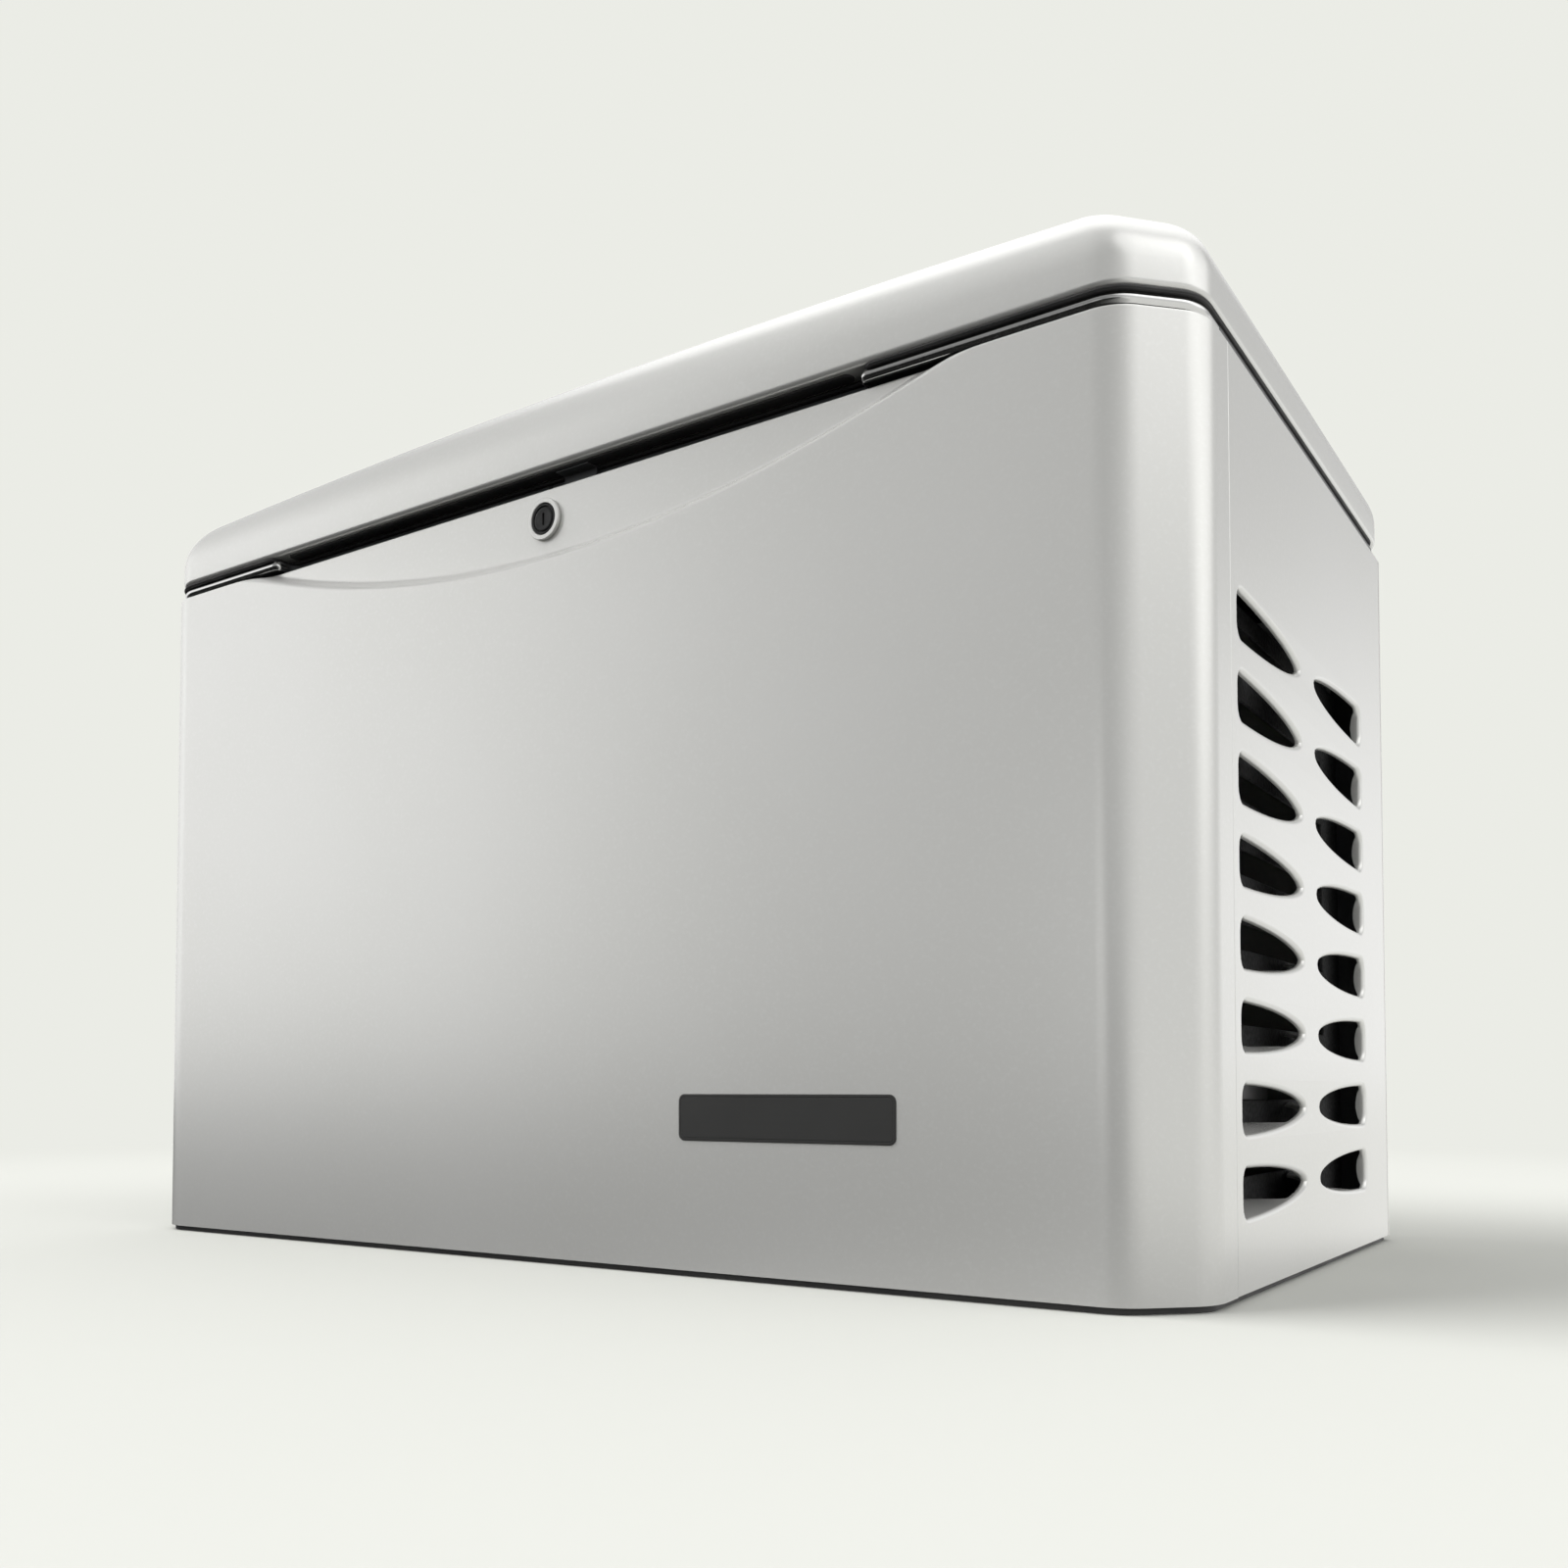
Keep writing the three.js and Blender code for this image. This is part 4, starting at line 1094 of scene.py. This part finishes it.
# Where, by the same measure, the overhead light takes over from the horizon's
OVERHEAD_FROM, OVERHEAD_TO = 0.25, 0.8
# Extra soft lamps: azimuth, elevation, full and vanishing radius in degrees, strength
SOFTBOXES = [
    (74, 50, 8, 34, 1.2), (112, 38, 10, 34, 0.85), (162, -2, 6, 26, 0.58), (-160, 62, 14, 38, 1.15),
    (-10, 1, 3, 15, 0.68),
]
# Painted floor light: a glow by position that the object's own surfaces see in place of the floor, along a
# line to the right and the rear; dark before the front as painted shade
FLOOR_LINE = (0.8, 0.6, 0)
PAINTED_FLOOR_GLOW = [(0.0, 0.02), (0.3, 0.02), (0.42, 0.08), (0.52, 0.22), (0.65, 0.55), (0.78, 1.0)]
FLOOR_REACH = 1.5
FLOOR_FADE = (1.1, 3.2)
FLOOR_SIZE = 60
FLOOR_DROP = 0.0005


def towards(azimuth, elevation):
    """A direction by degrees from straight ahead of the front panel towards its right, and upwards."""
    a, e = math.radians(azimuth), math.radians(elevation)
    return Vector((math.sin(a) * math.cos(e), -math.cos(a) * math.cos(e), math.sin(e)))


def set_tones(ramp, stops, tint=1.0):
    """Fills a colour ramp with (position, level) stops. tint scales the blue."""
    ramp.interpolation = "EASE"
    while len(ramp.elements) < len(stops):
        ramp.elements.new(0.5)
    for element, (position, level) in zip(ramp.elements, stops):
        element.position = position
        element.color = (level, level, level * tint, 1)


def world_light():
    """A soft studio: bright from the left, above and the right, darker straight ahead of the front."""
    world = bpy.data.worlds.new("studio")
    bpy.context.scene.world = world
    world.use_nodes = True
    tree = world.node_tree
    tree.nodes.clear()

    def node(kind, **settings):
        made = tree.nodes.new(kind)
        for key, value in settings.items():
            setattr(made, key, value)
        return made

    def math_node(operation, a, b):
        made = node("ShaderNodeMath", operation=operation)
        for socket, value in zip(made.inputs, (a, b)):
            if isinstance(value, (int, float)):
                socket.default_value = value
            else:
                tree.links.new(value, socket)
        return made.outputs[0]

    def ramp(value, stops):
        made = node("ShaderNodeValToRGB")
        set_tones(made.color_ramp, stops)
        tree.links.new(value, made.inputs[0])
        return made.outputs["Color"]

    direction = node("ShaderNodeTexCoord").outputs["Generated"]
    split = node("ShaderNodeSeparateXYZ")
    tree.links.new(direction, split.inputs[0])
    x, y, z = split.outputs
    angle = math_node("ARCTAN2", x, math_node("MULTIPLY", y, -1))
    turn = math_node("MULTIPLY_ADD", angle, 1 / (2 * math.pi))
    turn.node.inputs[2].default_value = 0.5
    around = ramp(turn, [((degrees + 180) / 360, level / 2) for degrees, level in AROUND])
    above = ramp(z, [(height, level / 2) for height, level in ABOVE])
    mix = node("ShaderNodeMix", data_type="RGBA")
    blend = node("ShaderNodeMapRange", interpolation_type="SMOOTHERSTEP")
    blend.inputs["From Min"].default_value = OVERHEAD_FROM
    blend.inputs["From Max"].default_value = OVERHEAD_TO
    tree.links.new(z, blend.inputs["Value"])
    tree.links.new(blend.outputs["Result"], mix.inputs[0])
    tree.links.new(around, mix.inputs[6])
    tree.links.new(above, mix.inputs[7])
    light = math_node("MULTIPLY", mix.outputs[2], 2.0)
    for azimuth, elevation, full, none, level in SOFTBOXES:
        dot = node("ShaderNodeVectorMath", operation="DOT_PRODUCT")
        dot.inputs[1].default_value = towards(azimuth, elevation)
        tree.links.new(direction, dot.inputs[0])
        lobe = node("ShaderNodeMapRange", interpolation_type="SMOOTHERSTEP")
        lobe.inputs["From Min"].default_value = math.cos(math.radians(none))
        lobe.inputs["From Max"].default_value = math.cos(math.radians(full))
        lobe.inputs["To Max"].default_value = level
        tree.links.new(dot.outputs["Value"], lobe.inputs["Value"])
        light = math_node("ADD", light, lobe.outputs["Result"])
    lamp = node("ShaderNodeBackground")
    tree.links.new(light, lamp.inputs["Color"])
    plain = node("ShaderNodeBackground")
    plain.inputs["Color"].default_value = (*BACKGROUND, 1)
    seen = node("ShaderNodeLightPath").outputs["Is Camera Ray"]
    choose = node("ShaderNodeMixShader")
    tree.links.new(seen, choose.inputs[0])
    tree.links.new(lamp.outputs[0], choose.inputs[1])
    tree.links.new(plain.outputs[0], choose.inputs[2])
    out = node("ShaderNodeOutputWorld")
    tree.links.new(choose.outputs[0], out.inputs[0])


def sun(name, azimuth, elevation, energy, size):
    """A soft lamp that isn't itself reflected in the paint."""
    data = bpy.data.lights.new(name, "SUN")
    data.energy = energy
    data.angle = math.radians(size)
    lamp = bpy.data.objects.new(name, data)
    direction = towards(azimuth, elevation)
    lamp.rotation_euler = direction.to_track_quat("Z", "Y").to_euler()
    lamp.location = direction * 3
    lamp.visible_glossy = False
    bpy.context.scene.collection.objects.link(lamp)


def studio_floor():
    """A pale floor that fades into the background. Rays other than the camera's see a painted glow in its
    place: painted floor light and shade.
    """
    size = FLOOR_SIZE
    corners = [(-size, -size, 0), (size, -size, 0), (size, size, 0), (-size, size, 0)]
    data = bpy.data.meshes.new("floor")
    data.from_pydata(corners, [], [(0, 1, 2, 3)])
    floor = bpy.data.objects.new("floor", data)
    floor.location.z = -FLOOR_DROP
    bpy.context.scene.collection.objects.link(floor)
    material = bpy.data.materials.new("floor")
    material.use_nodes = True
    tree = material.node_tree
    link = tree.links.new
    shader = tree.nodes["Principled BSDF"]
    shader.inputs["Base Color"].default_value = (*FLOOR_ALBEDO, 1)
    shader.inputs["Roughness"].default_value = 1.0
    shader.inputs["Specular IOR Level"].default_value = 0.0
    glow = tree.nodes.new("ShaderNodeEmission")
    glow.inputs["Color"].default_value = (*BACKGROUND, 1)
    spot = tree.nodes.new("ShaderNodeTexCoord").outputs["Object"]
    length = tree.nodes.new("ShaderNodeVectorMath")
    length.operation = "LENGTH"
    link(spot, length.inputs[0])
    fade = tree.nodes.new("ShaderNodeMapRange")
    fade.interpolation_type = "SMOOTHERSTEP"
    fade.inputs["From Min"].default_value, fade.inputs["From Max"].default_value = FLOOR_FADE
    link(length.outputs["Value"], fade.inputs["Value"])
    seen = tree.nodes.new("ShaderNodeMixShader")
    link(fade.outputs["Result"], seen.inputs[0])
    link(shader.outputs[0], seen.inputs[1])
    link(glow.outputs[0], seen.inputs[2])
    # Painted floor light and shade: what the object's own surfaces see of the floor is a glow by position,
    # dark before the front (painted shade), bright beside the louvres (painted light)
    slant = tree.nodes.new("ShaderNodeVectorMath")
    slant.operation = "DOT_PRODUCT"
    slant.inputs[1].default_value = FLOOR_LINE
    link(spot, slant.inputs[0])
    across = tree.nodes.new("ShaderNodeMapRange")
    across.inputs["From Min"].default_value = -FLOOR_REACH
    across.inputs["From Max"].default_value = FLOOR_REACH
    link(slant.outputs["Value"], across.inputs["Value"])
    tones = tree.nodes.new("ShaderNodeValToRGB")
    set_tones(tones.color_ramp, PAINTED_FLOOR_GLOW, 0.97)
    link(across.outputs["Result"], tones.inputs[0])
    # Emission that paints the floor's light and shade into reflections
    painted_floor_glow = tree.nodes.new("ShaderNodeEmission")
    link(tones.outputs["Color"], painted_floor_glow.inputs["Color"])
    choose = tree.nodes.new("ShaderNodeMixShader")
    path = tree.nodes.new("ShaderNodeLightPath")
    link(path.outputs["Is Camera Ray"], choose.inputs[0])
    link(painted_floor_glow.outputs[0], choose.inputs[1])
    link(seen.outputs[0], choose.inputs[2])
    link(choose.outputs[0], tree.nodes["Material Output"].inputs["Surface"])
    data.materials.append(material)


world_light()
sun("key", -62, 47, 3.5, 46)
sun("fill", -4, 14, 0.8, 50)
studio_floor()
bpy.context.scene.view_settings.view_transform = "Standard"
bpy.context.scene.view_settings.look = "None"
